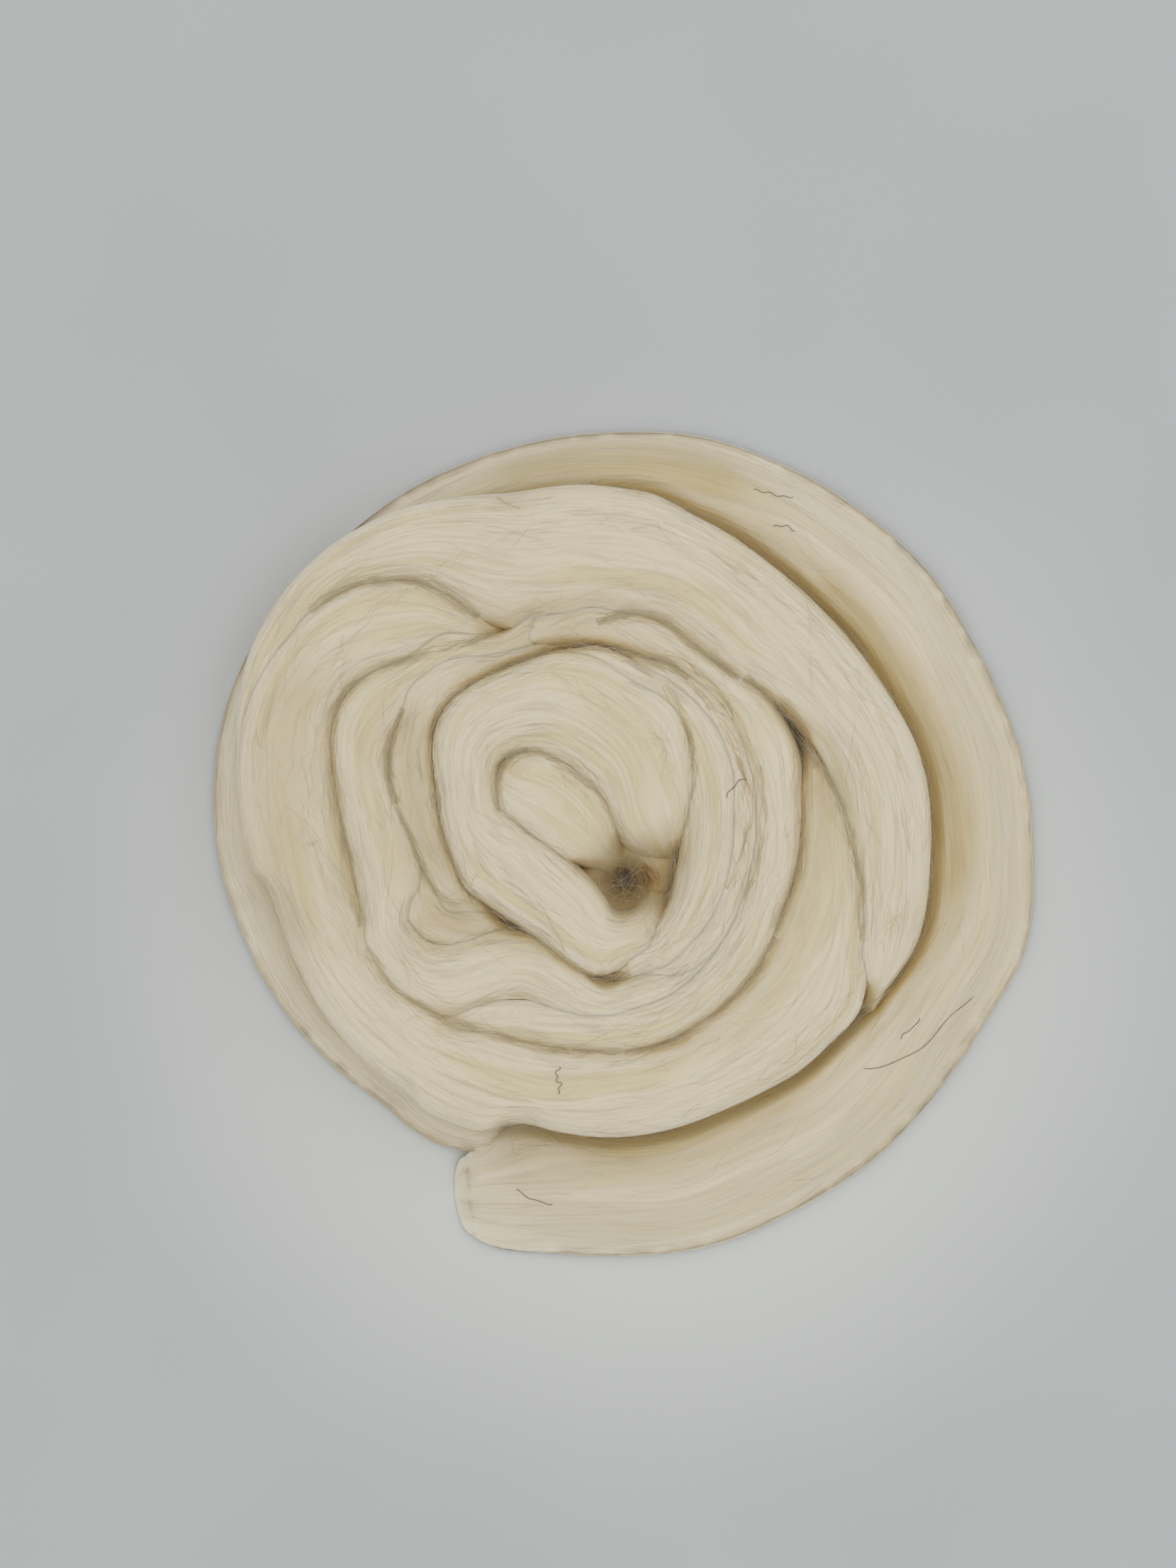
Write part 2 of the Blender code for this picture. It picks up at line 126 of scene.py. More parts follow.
TURNS = {
    "top_turn": Turn(Build.BROAD, 9, (
        Row(-105, 26, 22, 6, 8), Row(-103, 38, 24, 9, 10), Row(-98, 52, 25, 12, 11),
        Row(-89, 65, 26, 14, 12), Row(-76, 75.5, 27, 17, 13), Row(-60, 81.5, 28, 21, 14),
        Row(-45, 81, 28, 29, 15), Row(-30, 79, 29, 35, 16), Row(-12, 80, 30, 37, 17),
        Row(5, 79, 30, 35, 17), Row(21.5, 72, 30, 32, 17), Row(39.5, 58, 30, 29.5, 17),
        Row(59, 36, 30, 27, 17), Row(68, 17.3, 29, 25, 16), Row(71.5, 0, 28, 22, 16),
        Row(72, -11, 27, 19, 15), Row(71.2, -20, 26, 16, 14), Row(70, -28, 26, 12, 13),
        Row(67, -35, 25.5, 8, 11), Row(63.5, -42, 19, 5, 9),
    )),
    "lower_turn": Turn(Build.BROAD, 7, (
        Row(50, 34, 20, 14, 10), Row(52.5, 20, 23, 18, 12), Row(55, 5, 25, 21, 13),
        Row(55.5, -10, 26, 24, 14), Row(53, -23, 27, 28, 15), Row(47, -35, 28, 31, 16),
        Row(38, -46, 28, 31, 16), Row(25, -56, 28, 30, 16), Row(10, -63, 28, 29, 16),
        Row(-5, -66.5, 28, 27, 16), Row(-20, -68, 28, 27, 16), Row(-35, -65.5, 28, 28, 16),
        Row(-50, -59.5, 28, 29, 16), Row(-64, -50, 28, 29, 16), Row(-76, -37, 28, 28, 16),
        Row(-85, -22, 27, 27, 16), Row(-90, -5, 27, 27, 16), Row(-94, 12, 27, 27, 16),
        Row(-94.5, 28, 27, 26, 16), Row(-91, 42, 27, 24, 15), Row(-83.5, 52.5, 27, 22, 14),
        Row(-72, 59, 27, 22, 14), Row(-59, 62, 26, 21, 14), Row(-47, 61.5, 24, 17, 12),
        Row(-37, 61, 22, 12, 10),
    )),
    "wave_turn": Turn(Build.FINE, 5, (
        Row(-22, 59, 24, 12, 12), Row(-36, 56, 25, 14, 12), Row(-50, 51, 26, 16, 12),
        Row(-63, 45, 27, 17, 13), Row(-72, 37, 28, 18, 14), Row(-76, 25, 29, 17.5, 14),
        Row(-72.5, 10, 30, 20.5, 15), Row(-69.5, -2, 30, 21.5, 15), Row(-67.8, -12, 30, 21.5, 15),
        Row(-68.5, -20, 30, 17.5, 15), Row(-65.3, -28, 30, 16.5, 15), Row(-60, -34, 30, 16.5, 15),
        Row(-52.5, -36.6, 30, 17, 15), Row(-45, -35.8, 30.5, 18.5, 15), Row(-37, -33, 31, 20, 15),
        Row(-29, -32, 31, 19.5, 15), Row(-20, -36.5, 31, 17, 15), Row(-10, -41.8, 31, 14, 14),
        Row(0, -42.5, 31, 11, 13), Row(10, -38.5, 31, 10, 12), Row(18.5, -31, 31, 9, 12),
        Row(25, -20.5, 31, 7.5, 12),
    )),
    "side_turn": Turn(Build.FINE, 8, (
        Row(-56, -41, 20, 6, 8), Row(-48, -45.5, 25, 9, 10), Row(-37, -47.5, 28, 12, 12),
        Row(-25, -49, 29, 14.5, 13), Row(-12, -49.5, 30, 15.5, 14), Row(0, -49, 31, 14.5, 15),
        Row(12, -45.5, 31.5, 14.5, 15), Row(23, -38, 32, 15, 15), Row(31, -27, 32, 14, 15),
        Row(37.5, -14, 32, 13, 15), Row(41, 0, 32, 12.5, 15), Row(41.5, 13, 31, 12, 15),
        Row(39, 26, 30, 12, 14), Row(33, 37.5, 29, 12, 14), Row(24, 46.5, 28, 12, 13),
        Row(12, 54.5, 27, 12, 12), Row(-2, 59, 26, 13.5, 12), Row(-18, 58.5, 25, 14, 11),
        Row(-32, 56, 24, 12, 11),
    )),
    "thin_turn": Turn(Build.FINE, 5, (
        Row(-2, 53, 26, 4, 8), Row(7, 50.7, 29.5, 5, 9), Row(15, 46.8, 31, 6, 10),
        Row(22.5, 40.5, 31.8, 6.8, 11), Row(28.5, 32, 32.2, 7, 11), Row(32.3, 21, 32.6, 7, 11),
        Row(33.3, 10, 33, 7, 11), Row(32, -1.5, 33, 7, 11), Row(28.3, -12.5, 33, 7.5, 12),
        Row(21, -25, 32.5, 8.5, 12), Row(14, -31.5, 31.5, 9.5, 12), Row(5, -37, 29, 8, 12),
        Row(-5, -39.5, 25, 6, 10),
    )),
    "ring_turn": Turn(Build.FINE, 4, (
        Row(-22, 51, 27, 6, 9), Row(-14, 49.5, 31, 10, 12), Row(-6.5, 47, 33, 13, 13),
        Row(3, 43, 34, 17, 14), Row(12.2, 35.5, 34.5, 20, 15), Row(18.7, 25, 35, 21, 16),
        Row(21.3, 12, 35, 21.5, 16), Row(20.8, 1.5, 35, 21, 16), Row(19, -7, 35, 20, 16),
        Row(16.5, -14.5, 34.5, 17.5, 15), Row(12, -22, 34, 15, 15), Row(6.7, -28.5, 33, 12.5, 14),
        Row(0, -33, 31, 9, 12), Row(-7, -36.5, 27, 5, 10),
    )),
    "heart_turn": Turn(Build.FINE, 0, (
        Row(10, -9, 15, 5, 9), Row(9, -5, 21, 8.5, 11), Row(7.8, -1, 27, 11.5, 13),
        Row(6.8, 3, 31, 14.5, 14), Row(6, 7.5, 34, 18, 15), Row(4.5, 14.5, 36.5, 24, 16),
        Row(0.5, 24.5, 38.5, 30, 17), Row(-8, 33, 39, 32.5, 18), Row(-19.5, 38.5, 39, 30, 18),
        Row(-31, 37.5, 38, 25.5, 17), Row(-41, 33, 37, 22, 16), Row(-45.5, 25.5, 37, 19, 16),
        Row(-45.5, 15.5, 37, 18.5, 16), Row(-43.5, 5.5, 37, 19.5, 16), Row(-37, -2, 36, 22, 16),
        Row(-27.5, -10, 36, 24, 16), Row(-18.5, -17, 36, 22.5, 16),
        Row(-12.5, -23.5, 36, 20.5, 16), Row(-6, -26.5, 35.5, 19, 16), Row(0, -24, 34, 13.5, 14),
        Row(4.5, -18.5, 30, 9.5, 13), Row(7.2, -12, 22.5, 7, 10), Row(8.3, -7, 15, 5.5, 8),
    )),
    "tongue": Turn(Build.FINE, 0, (
        Row(-42, 22.5, 29, 13, 12), Row(-37, 19.5, 34, 20, 15), Row(-30.5, 16, 36.5, 25, 17),
        Row(-22.5, 12, 37, 26, 17), Row(-14.5, 6.5, 36.5, 24, 17), Row(-8.5, 1.5, 34.5, 19.5, 16),
        Row(-5, -2, 29, 14.5, 13), Row(-3, -4.5, 21, 10, 10),
    )),
    "fold": Turn(Build.FINE, 4, (
        Row(-8, 54, 21, 5, 9), Row(-22, 53.5, 25, 7, 10), Row(-37, 50, 27, 9, 11),
        Row(-50, 45, 28, 12.5, 12), Row(-58.5, 36, 29, 14.5, 13), Row(-61, 25, 29.5, 15.5, 14),
        Row(-59.5, 12, 29.5, 13, 13), Row(-56, 1, 29, 12, 13), Row(-51.5, -8, 28.5, 12.5, 13),
        Row(-45, -14.5, 27, 12.5, 12), Row(-36.5, -20, 25, 9, 10), Row(-28, -25, 21, 6, 8),
    )),
    "pocket": Turn(Build.FINE, 0, (
        Row(-63, 2, 22, 8, 11), Row(-62, -6, 25.5, 12, 12), Row(-59, -14, 27, 15, 13),
        Row(-53.5, -20, 27.5, 16, 13), Row(-46.5, -22, 27.5, 15, 13), Row(-39, -22.5, 27, 11, 12),
        Row(-31, -24.5, 24, 7, 10),
    )),
}


def linear(code: str) -> tuple[float, float, float, float]:
    """Turn an sRGB hex colour to linear.

    Args:
        code: six hex digits, with or without the leading mark.

    Returns:
        The linear red, green, blue and alpha.
    """
    digits = code.lstrip("#")
    parts = [int(digits[place:place + 2], 16) / 255 for place in (0, 2, 4)]
    turned = [p / 12.92 if p <= 0.04045 else ((p + 0.055) / 1.055) ** 2.4 for p in parts]
    return (*turned, 1.0)


def add_node(tree: NodeTree, kind: str, settings: dict[str, object] | None = None,
             inputs: dict[int | str, object] | None = None) -> Node:
    """Add a shader node with its settings, values and links.

    Args:
        tree: the node tree.
        kind: the node's type name.
        settings: properties of the node itself.
        inputs: for each input, a value or the output socket to link from.

    Returns:
        The new node.
    """
    node = tree.nodes.new(kind)
    for name, value in (settings or {}).items():
        setattr(node, name, value)
    for name, value in (inputs or {}).items():
        if isinstance(value, NodeSocket):
            tree.links.new(value, node.inputs[name])
        else:
            node.inputs[name].default_value = value
    return node


def set_ramp(node: Node, stops: Sequence[tuple[float, str]]) -> None:
    """Give a colour ramp its stops.

    Args:
        node: a ColorRamp node.
        stops: each stop's place and its hex colour.
    """
    elements = node.color_ramp.elements
    while len(elements) < len(stops):
        elements.new(0.5)
    for element, (place, code) in zip(elements, stops):
        element.position = place
        element.color = linear(code)


def new_finish(name: str) -> tuple[Material, NodeTree, Node]:
    """Start a finish.

    Args:
        name: the material's name.

    Returns:
        The material, its node tree and its shader.
    """
    material = bpy.data.materials.new(name)
    material.use_nodes = True
    tree = material.node_tree
    return material, tree, tree.nodes["Principled BSDF"]


def set_sockets(shader: Node, values: dict[str, object]) -> None:
    """Set what is the same all over a surface on the shader's own sockets."""
    for name, value in values.items():
        shader.inputs[name].default_value = value


def shaded_by(tree: NodeTree, colour: NodeSocket, value: NodeSocket,
              stops: Sequence[tuple[float, str]]) -> NodeSocket:
    """Multiply a colour by a ramp.

    Args:
        tree: the node tree.
        colour: the colour in the open.
        value: how far along the ramp a place is.
        stops: the ramp's places and hex colours.

    Returns:
        The deepened colour.
    """
    ramp = add_node(tree, "ShaderNodeValToRGB", None, {0: value})
    set_ramp(ramp, stops)
    mixed = add_node(tree, "ShaderNodeMix", {"data_type": "RGBA", "blend_type": "MULTIPLY"},
                     {0: 1.0, 6: colour, 7: ramp.outputs[0]})
    return mixed.outputs[2]


@dataclass(frozen=True)
class Fleece:
    """Combed merino top: matt cream keratin with a faint lengthwise shimmer.

    The fibres scatter the light inside. Creases and hollows are painted a warm golden-brown shade,
    the open eye a dark brown one, and the thin hem at the floor is painted paler, as painted
    light.
    Locks of slightly different creams lie side by side, with finer streaks in them.
    """

    name: str
    pale: str = "#efe9da"
    golden: str = "#eae2ca"
    rosy: str = "#efe7d8"
    between_fibres: str = "#e4dccb"
    # painted shade in creases: lighter at their sides, deepest at their very line
    soft_crease_shade: str = "#ecdfbc"
    crease: str = "#c4a26c"
    # painted shade for the darkness of the deep open eye
    eye: str = "#3a2a1c"
    # painted shade where the wool lies below the wool around it
    low: str = "#dfd1af"
    # painted light: the paler colour that the thin hem at the floor is mixed towards
    hem: str = "#f8f4ea"
    streak: tuple[float, float] = (26.0, 0.55)  # mm: bundles of fibres, as 0.02 mm won't show
    streak_share: float = 0.3
    streak_relief: float = 0.2  # mm
    lock: tuple[float, float] = (75.0, 4.5)  # mm along and across
    drift: tuple[float, float] = (60.0, 9.0)  # mm: how locks and streaks wander
    sway: float = 3.0  # mm that they wander sideways
    fine_crease: float = 2.5  # mm: how far apart the sides of a fine crease are at most
    fine_depth: float = 0.4  # how much painted shade a fine crease gets, from 0 to 1
    roughness: float = 0.9
    sheen: float = 0.5
    glow: float = 0.85  # share of the light that spreads inside the wool
    glow_reach: float = 1.2  # mm

    def material(self) -> Material:
        """Make the finish, whose pattern follows the strand's own map.

        Returns:
            The material.
        """
        material, tree, shader = new_finish(self.name)
        place = add_node(tree, "ShaderNodeUVMap", {"uv_map": GRAIN_MAP}).outputs["UV"]
        drift = self.drawn_out(tree, place, self.drift, detail=1.0)
        sway = add_node(tree, "ShaderNodeVectorMath", {"operation": "MULTIPLY"},
                        {0: drift.outputs["Color"], 1: (0.0, self.sway, 0.0)})
        moved = add_node(tree, "ShaderNodeVectorMath", {"operation": "ADD"},
                         {0: place, 1: sway.outputs[0]}).outputs[0]
        locks = self.drawn_out(tree, moved, self.lock, detail=2.0)
        streaks = self.drawn_out(tree, moved, self.streak, detail=3.0).outputs[0]
        hues = add_node(tree, "ShaderNodeValToRGB", None, {0: locks.outputs[0]})
        set_ramp(hues, [(0.34, self.rosy), (0.5, self.pale), (0.68, self.golden)])
        shades = add_node(tree, "ShaderNodeValToRGB", None, {0: streaks})
        set_ramp(shades, [(0.30, self.between_fibres), (0.55, "#ffffff")])
        streaked = add_node(
            tree, "ShaderNodeMix", {"data_type": "RGBA", "blend_type": "MULTIPLY"},
            {0: self.streak_share, 6: hues.outputs[0], 7: shades.outputs[0]})
        # painted shade from the creases, then painted light towards the thin hem at the floor
        edge_light = add_node(tree, "ShaderNodeAttribute", {"attribute_name": EDGE_LIGHT}).outputs["Fac"]
        with_edge_light = add_node(tree, "ShaderNodeMix", {"data_type": "RGBA"}, {
            0: edge_light, 6: self.sheltered(tree, streaked.outputs[2], edge_light, streaks),
            7: linear(self.hem)})
        bump = add_node(tree, "ShaderNodeBump", None, {
            "Strength": 0.5, "Distance": self.streak_relief * MM, "Height": streaks})
        tree.links.new(with_edge_light.outputs[2], shader.inputs["Base Color"])
        tree.links.new(bump.outputs[0], shader.inputs["Normal"])
        set_sockets(shader, {
            "Roughness": self.roughness, "Metallic": 0.0, "IOR": KERATIN_IOR,
            "Specular IOR Level": 0.2, "Subsurface Weight": self.glow,
            "Subsurface Radius": (1.0, 0.9, 0.8), "Subsurface Scale": self.glow_reach * MM,
            "Sheen Weight": self.sheen, "Sheen Roughness": 0.6,
            "Sheen Tint": linear(self.pale)})
        return material

    def sheltered(self, tree: NodeTree, colour: NodeSocket, edge_light: NodeSocket,
                  streaks: NodeSocket) -> NodeSocket:
        """Paint shade into the colour in creases and hollows, in streaks rather than evenly.

        Args:
            tree: the node tree.
            colour: the colour in the open.
            edge_light: how far the wool is painted paler towards the thin hem at the floor, as
                painted light.
            streaks: the pattern of the bundles of fibres.

        Returns:
            The deepened colour.
        """
        # painted shade: an ambient occlusion node darkens fine creases, left out near the floor
        near = add_node(tree, "ShaderNodeAmbientOcclusion", {"samples": 6},
                        {"Distance": self.fine_crease * MM})
        folded = add_node(tree, "ShaderNodeMapRange", None, {
            "Value": near.outputs["AO"], "From Min": 0.72, "From Max": 0.3})
        clear = add_node(tree, "ShaderNodeMapRange", None, {
            "Value": edge_light, "To Min": self.fine_depth, "To Max": 0.0})
        fine = add_node(tree, "ShaderNodeMath", {"operation": "MULTIPLY"},
                        {0: folded.outputs[0], 1: clear.outputs[0]})
        crease_shade = add_node(tree, "ShaderNodeAttribute", {"attribute_name": CREASE_SHADE}).outputs["Fac"]
        closeness = add_node(tree, "ShaderNodeMath", {"operation": "MAXIMUM"},
                             {0: crease_shade, 1: fine.outputs[0]}).outputs[0]
        depth = add_node(tree, "ShaderNodeAttribute", {"attribute_name": SHADE}).outputs["Fac"]
        broken = add_node(tree, "ShaderNodeMapRange", None, {
            "Value": streaks, "From Min": 0.35, "From Max": 0.65,
            "To Min": 0.65, "To Max": 1.25}).outputs[0]
        creased = [(0.06, "#ffffff"), (0.42, self.soft_crease_shade), (0.82, self.crease),
                   (0.97, self.eye)]
        for value, stops in ((closeness, creased),
                             (depth, [(0.02, "#ffffff"), (0.42, self.low)])):
            uneven = add_node(tree, "ShaderNodeMath", {"operation": "MULTIPLY"},
                              {0: value, 1: broken}).outputs[0]
            colour = shaded_by(tree, colour, uneven, stops)
        return colour

    def drawn_out(self, tree: NodeTree, place: NodeSocket, size: tuple[float, float],
                  detail: float) -> Node:
        """Add a pattern that is drawn out along the strand.

        Args:
            tree: the node tree.
            place: the socket with the place on the strand, in millimetres.
            size: length and width of a streak, in millimetres.
            detail: octaves of finer streaks.

        Returns:
            The pattern's node.
        """
        scaled = add_node(tree, "ShaderNodeVectorMath", {"operation": "DIVIDE"},
                          {0: place, 1: (*size, 1.0)})
        return add_node(tree, "ShaderNodeTexNoise", {"noise_dimensions": "2D"},
                        {"Vector": scaled.outputs[0], "Scale": 1.0, "Detail": detail})


@dataclass(frozen=True)
class Fibre:
    """Single wool fibres: clear keratin, each a little paler or deeper than the next."""

    name: str
    pale: str = "#fcf7ea"
    deep: str = "#f3e9d0"
    brown: str = "#d6c199"
    # painted shade for fibres that lie in creases and in the eye
    golden: str = "#ecdfbc"
    tucked: str = "#bb9a68"
    roughness: float = 0.7
    glow: float = 0.3  # share of the light that passes through a fibre
    glow_reach: float = 0.25  # mm

    def material(self) -> Material:
        """Make the finish: each fibre's own tone, with painted shade where it lies in a crease.

        Returns:
            The material.
        """
        material, tree, shader = new_finish(self.name)
        tone = add_node(tree, "ShaderNodeAttribute", {"attribute_name": TONE})
        shade = add_node(tree, "ShaderNodeValToRGB", None, {0: tone.outputs["Fac"]})
        set_ramp(shade, [(0.0, self.brown), (0.07, self.deep), (1.0, self.pale)])
        crease_shade = add_node(tree, "ShaderNodeAttribute", {"attribute_name": CREASE_SHADE}).outputs["Fac"]
        coloured = shaded_by(tree, shade.outputs[0], crease_shade,
                             [(0.08, "#ffffff"), (0.5, self.golden), (0.95, self.tucked)])
        tree.links.new(coloured, shader.inputs["Base Color"])
        set_sockets(shader, {
            "Roughness": self.roughness, "Metallic": 0.0, "IOR": KERATIN_IOR,
            "Specular IOR Level": 0.3, "Subsurface Weight": self.glow,
            "Subsurface Radius": (1.0, 0.95, 0.9), "Subsurface Scale": self.glow_reach * MM})
        return material


@dataclass(frozen=True)
class MattBoard:
    """Matt white board: the plain floor under the wool, with a faint unevenness and painted light
    near the wool.
    """

    name: str
    light: str = "#d1d5da"
    dark: str = "#ced2d7"
    # painted light: paler colour near the wool, for the light that the wool throws on the floor
    glow: str = "#e8eced"
    glow_at: tuple[float, float, float] = (0.005, -0.03, 0.0)  # metres
    glow_from: float = 0.056
    glow_to: float = 0.1792
    clouds: float = 9.0  # to the metre
    roughness: float = 0.8

    def material(self) -> Material:
        """Make the finish of the floor, a little paler where the wool throws light on it.

        Returns:
            The material.
        """
        material, tree, shader = new_finish(self.name)
        place = add_node(tree, "ShaderNodeTexCoord").outputs["Object"]
        clouds = add_node(tree, "ShaderNodeTexNoise", None,
                          {"Vector": place, "Scale": self.clouds, "Detail": 2.0})
        shade = add_node(tree, "ShaderNodeValToRGB", None, {0: clouds.outputs[0]})
        set_ramp(shade, [(0.35, self.dark), (0.65, self.light)])
        off = add_node(tree, "ShaderNodeVectorMath", {"operation": "DISTANCE"},
                       {0: place, 1: self.glow_at})
        near = add_node(tree, "ShaderNodeMapRange", {"interpolation_type": "SMOOTHSTEP"}, {
            "Value": off.outputs["Value"], "From Min": self.glow_to,
            "From Max": self.glow_from})
        mixed = add_node(tree, "ShaderNodeMix", {"data_type": "RGBA"}, {
            0: near.outputs[0], 6: shade.outputs[0], 7: linear(self.glow)})
        tree.links.new(mixed.outputs[2], shader.inputs["Base Color"])
        set_sockets(shader, {"Roughness": self.roughness})
        return material


def spline_shares(part: np.ndarray) -> list[np.ndarray]:
    """The shares of four knots in a cubic B-spline, at a place between the middle two.

    Args:
        part: how far the place is from the second knot to the third, from 0 to 1.

    Returns:
        The four knots' shares.
    """
    rest = 1 - part
    return [
        rest ** 3 / 6,
        (3 * part ** 3 - 6 * part ** 2 + 4) / 6,
        (3 * rest ** 3 - 6 * rest ** 2 + 4) / 6,
        part ** 3 / 6,
    ]


def lumps(rng: Generator, along: np.ndarray, around: np.ndarray, knots: int) -> np.ndarray:
    """Smooth random lumps over a strand's surface, closed round it.

    Args:
        rng: the seeded source.
        along: places along the strand, in lump lengths, from 0.
        around: places around it, in lumps.
        knots: how many lumps go round.

    Returns:
        Values with a spread of about one.
    """
    lattice = rng.standard_normal((int(along.max()) + 5, knots))
    first, side = np.floor(along).astype(int), np.floor(around).astype(int)
    rows, columns = spline_shares(along - first), spline_shares(around - side)
    total = np.zeros(np.broadcast(along, around).shape)
    for step, row in enumerate(rows):
        for turn, column in enumerate(columns):
            total += row * column * lattice[first + step, (side + turn) % knots]
    return total * 2.0


def smoothed(values: np.ndarray, reach: float, axis: int = 0, closed: bool = False) -> np.ndarray:
    """Smooth values with a bell curve.

    Args:
        values: the values.
        reach: the bell's spread, in steps.
        axis: the axis to smooth along.
        closed: whether the axis runs round.

    Returns:
        The smoothed values.
    """
    half = int(3 * reach) + 1
    steps = np.arange(-half, half + 1)
    bell = np.exp(-0.5 * (steps / reach) ** 2)
    bell /= bell.sum()
    width = [(0, 0)] * values.ndim
    width[axis] = (half, half)
    padded = np.pad(values, width, mode="wrap" if closed else "edge")
    result = np.zeros_like(values)
    for place, share in enumerate(bell):
        result += share * np.take(padded, range(place, place + values.shape[axis]), axis=axis)
    return result


def unit(vectors: np.ndarray) -> np.ndarray:
    """Vectors of length one."""
    return vectors / np.maximum(np.linalg.norm(vectors, axis=-1, keepdims=True), 1e-9)


def leftward(way: np.ndarray) -> np.ndarray:
    """The direction in plan to the left of each way."""
    return np.stack([-way[..., 1], way[..., 0]], axis=-1)


def run_of(line: np.ndarray) -> np.ndarray:
    """How far along a line each of its corners is, seen from above."""
    return np.concatenate([[0.0], np.cumsum(np.hypot(*np.diff(line[:, :2], axis=0).T))])


def on_line(place: np.ndarray, run: np.ndarray, line: np.ndarray) -> np.ndarray:
    """The x and y of places along a line.

    Args:
        place: how far along the line each place is.
        run: how far along each of the line's corners is.
        line: the corners, x and y first.

    Returns:
        The places, with x and y as their last axis.
    """
    return np.stack([np.interp(place, run, line[:, axis]) for axis in (0, 1)], axis=-1)


def ring_faces(count: int, sides: int, first: int = 0) -> np.ndarray:
    """The four-sided faces between closed rings of points.

    Args:
        count: how many rings.
        sides: how many points in each.
        first: the number of the first point.

    Returns:
        One row of four corners for each face.
    """
    ring, side = np.meshgrid(np.arange(count - 1), np.arange(sides), indexing="ij")
    here = first + ring * sides + side
    turn = first + ring * sides + (side + 1) % sides
    return np.stack([here, turn, turn + sides, here + sides], axis=-1).reshape(-1, 4)


def make_mesh(name: str, points: np.ndarray, faces: Sequence[Sequence[int]]) -> Object:
    """Make an object from points in millimetres, in the tables' coordinates.

    Args:
        name: the piece's name.
        points: one row for each corner.
        faces: the corners of each face.

    Returns:
        The object, linked to the scene.
    """
    mesh = bpy.data.meshes.new(name)
    mesh.from_pydata(((points - FRAME) * MM).tolist(), [], faces)
    mesh.shade_smooth()
    piece = bpy.data.objects.new(name, mesh)
    bpy.context.scene.collection.objects.link(piece)
    return piece


def keep_values(mesh: Mesh, name: str, values: np.ndarray) -> None:
    """Keep one value for each corner of a mesh, for its material to read."""
    layer = mesh.attributes.new(name, "FLOAT", "POINT")
    layer.data.foreach_set("value", values)


def keep_grain(mesh: Mesh, places: np.ndarray) -> None:
    """Keep the map that a strand's pattern follows, in millimetres."""
    layer = mesh.uv_layers.new(name=GRAIN_MAP)
    layer.data.foreach_set("uv", places)


def off_line(points: np.ndarray, line: Line) -> tuple[np.ndarray, ...]:
    """How far each point lies off a line in plan, and how far along the line it is.

    Args:
        points: places in millimetres, x and y first.
        line: the line's corners.

    Returns:
        The distances off the line, those along it, and the line's whole length.
    """
    marks = np.array(line, float)
    before = run_of(marks)
    nearest = np.full(points.shape[:-1], np.inf)
    run = np.zeros(points.shape[:-1])
    for start, end, span, gone in zip(marks, marks[1:], np.diff(before), before):
        way = (end - start) / span
        share = np.clip((points[..., :2] - start) @ way, 0.0, span)
        off = np.linalg.norm(points[..., :2] - start - share[..., None] * way, axis=-1)
        closer = off < nearest
        nearest = np.where(closer, off, nearest)
        run = np.where(closer, gone + share, run)
    return nearest, run, before[-1]


@dataclass(frozen=True)
class Furrow:
    """A crease that runs along a turn: its line seen from above, its depth and width."""

    FADE: ClassVar[float] = 0.25  # share of its length over which each end fades out

    turn: str
    depth: float
    width: float
    line: Line

    def depth_at(self, points: np.ndarray) -> np.ndarray:
        """How deep the furrow is at each point, fading out at both of its ends.

        Args:
            points: places in millimetres, x and y first.

        Returns:
            The depth in millimetres.
        """
        nearest, run, whole = off_line(points, self.line)
        fade = np.clip(np.minimum(run, whole - run) / (self.FADE * whole), 0.0, 1.0)
        return self.depth * fade * np.exp(-(nearest / self.width) ** 2)


# The furrows that divide broad turns lengthwise.
FURROWS = [
    Furrow("heart_turn", 0.9, 1.1, ((-50, 25), (-45, 33), (-38, 36))),
    Furrow("heart_turn", 0.7, 1.0, ((-44, 18), (-42, 27), (-37, 31))),
    Furrow("heart_turn", 0.9, 1.2, ((-39, 6), (-33, -8), (-28, -15), (-22, -25))),
    Furrow("wave_turn", 0.8, 1.4, ((-50, -46), (-38, -46), (-25, -48), (-10, -50), (5, -47))),
    Furrow("wave_turn", 0.8, 1.3, ((-60, -42), (-53, -44), (-40, -43), (-30, -41), (-20, -44))),
    Furrow("wave_turn", 0.9, 1.4, ((-78, 19), (-74, 11), (-70, 5), (-68, -3))),
    Furrow("side_turn", 0.8, 1.2, ((-50, -46), (-25, -49), (-5, -51), (15, -42), (27, -32))),
    Furrow("lower_turn", 1.0, 1.5, ((-97, 10), (-88, 0), (-84, -10), (-80, -20))),
    Furrow("lower_turn", 0.9, 1.5, ((5, -56), (13, -55), (27, -53), (37, -49), (47, -42))),
    Furrow("lower_turn", 0.9, 1.6, ((-65, -48), (-53, -56), (-37, -64), (-25, -72))),
    Furrow("fold", 0.8, 0.9, ((-59, 40), (-61.5, 28), (-61.5, 15), (-58, 4))),
    Furrow("fold", 0.6, 0.8, ((-55, 40), (-58.5, 28), (-58.5, 15), (-55, 4))),
    Furrow("top_turn", 0.9, 2.2, ((-40, 92), (-22, 93), (-3.4, 88.8), (14.6, 79.8))),
    Furrow("top_turn", 0.7, 2.0, ((-7.4, 93.8), (8, 83), (24.6, 71.8), (40, 60))),
]


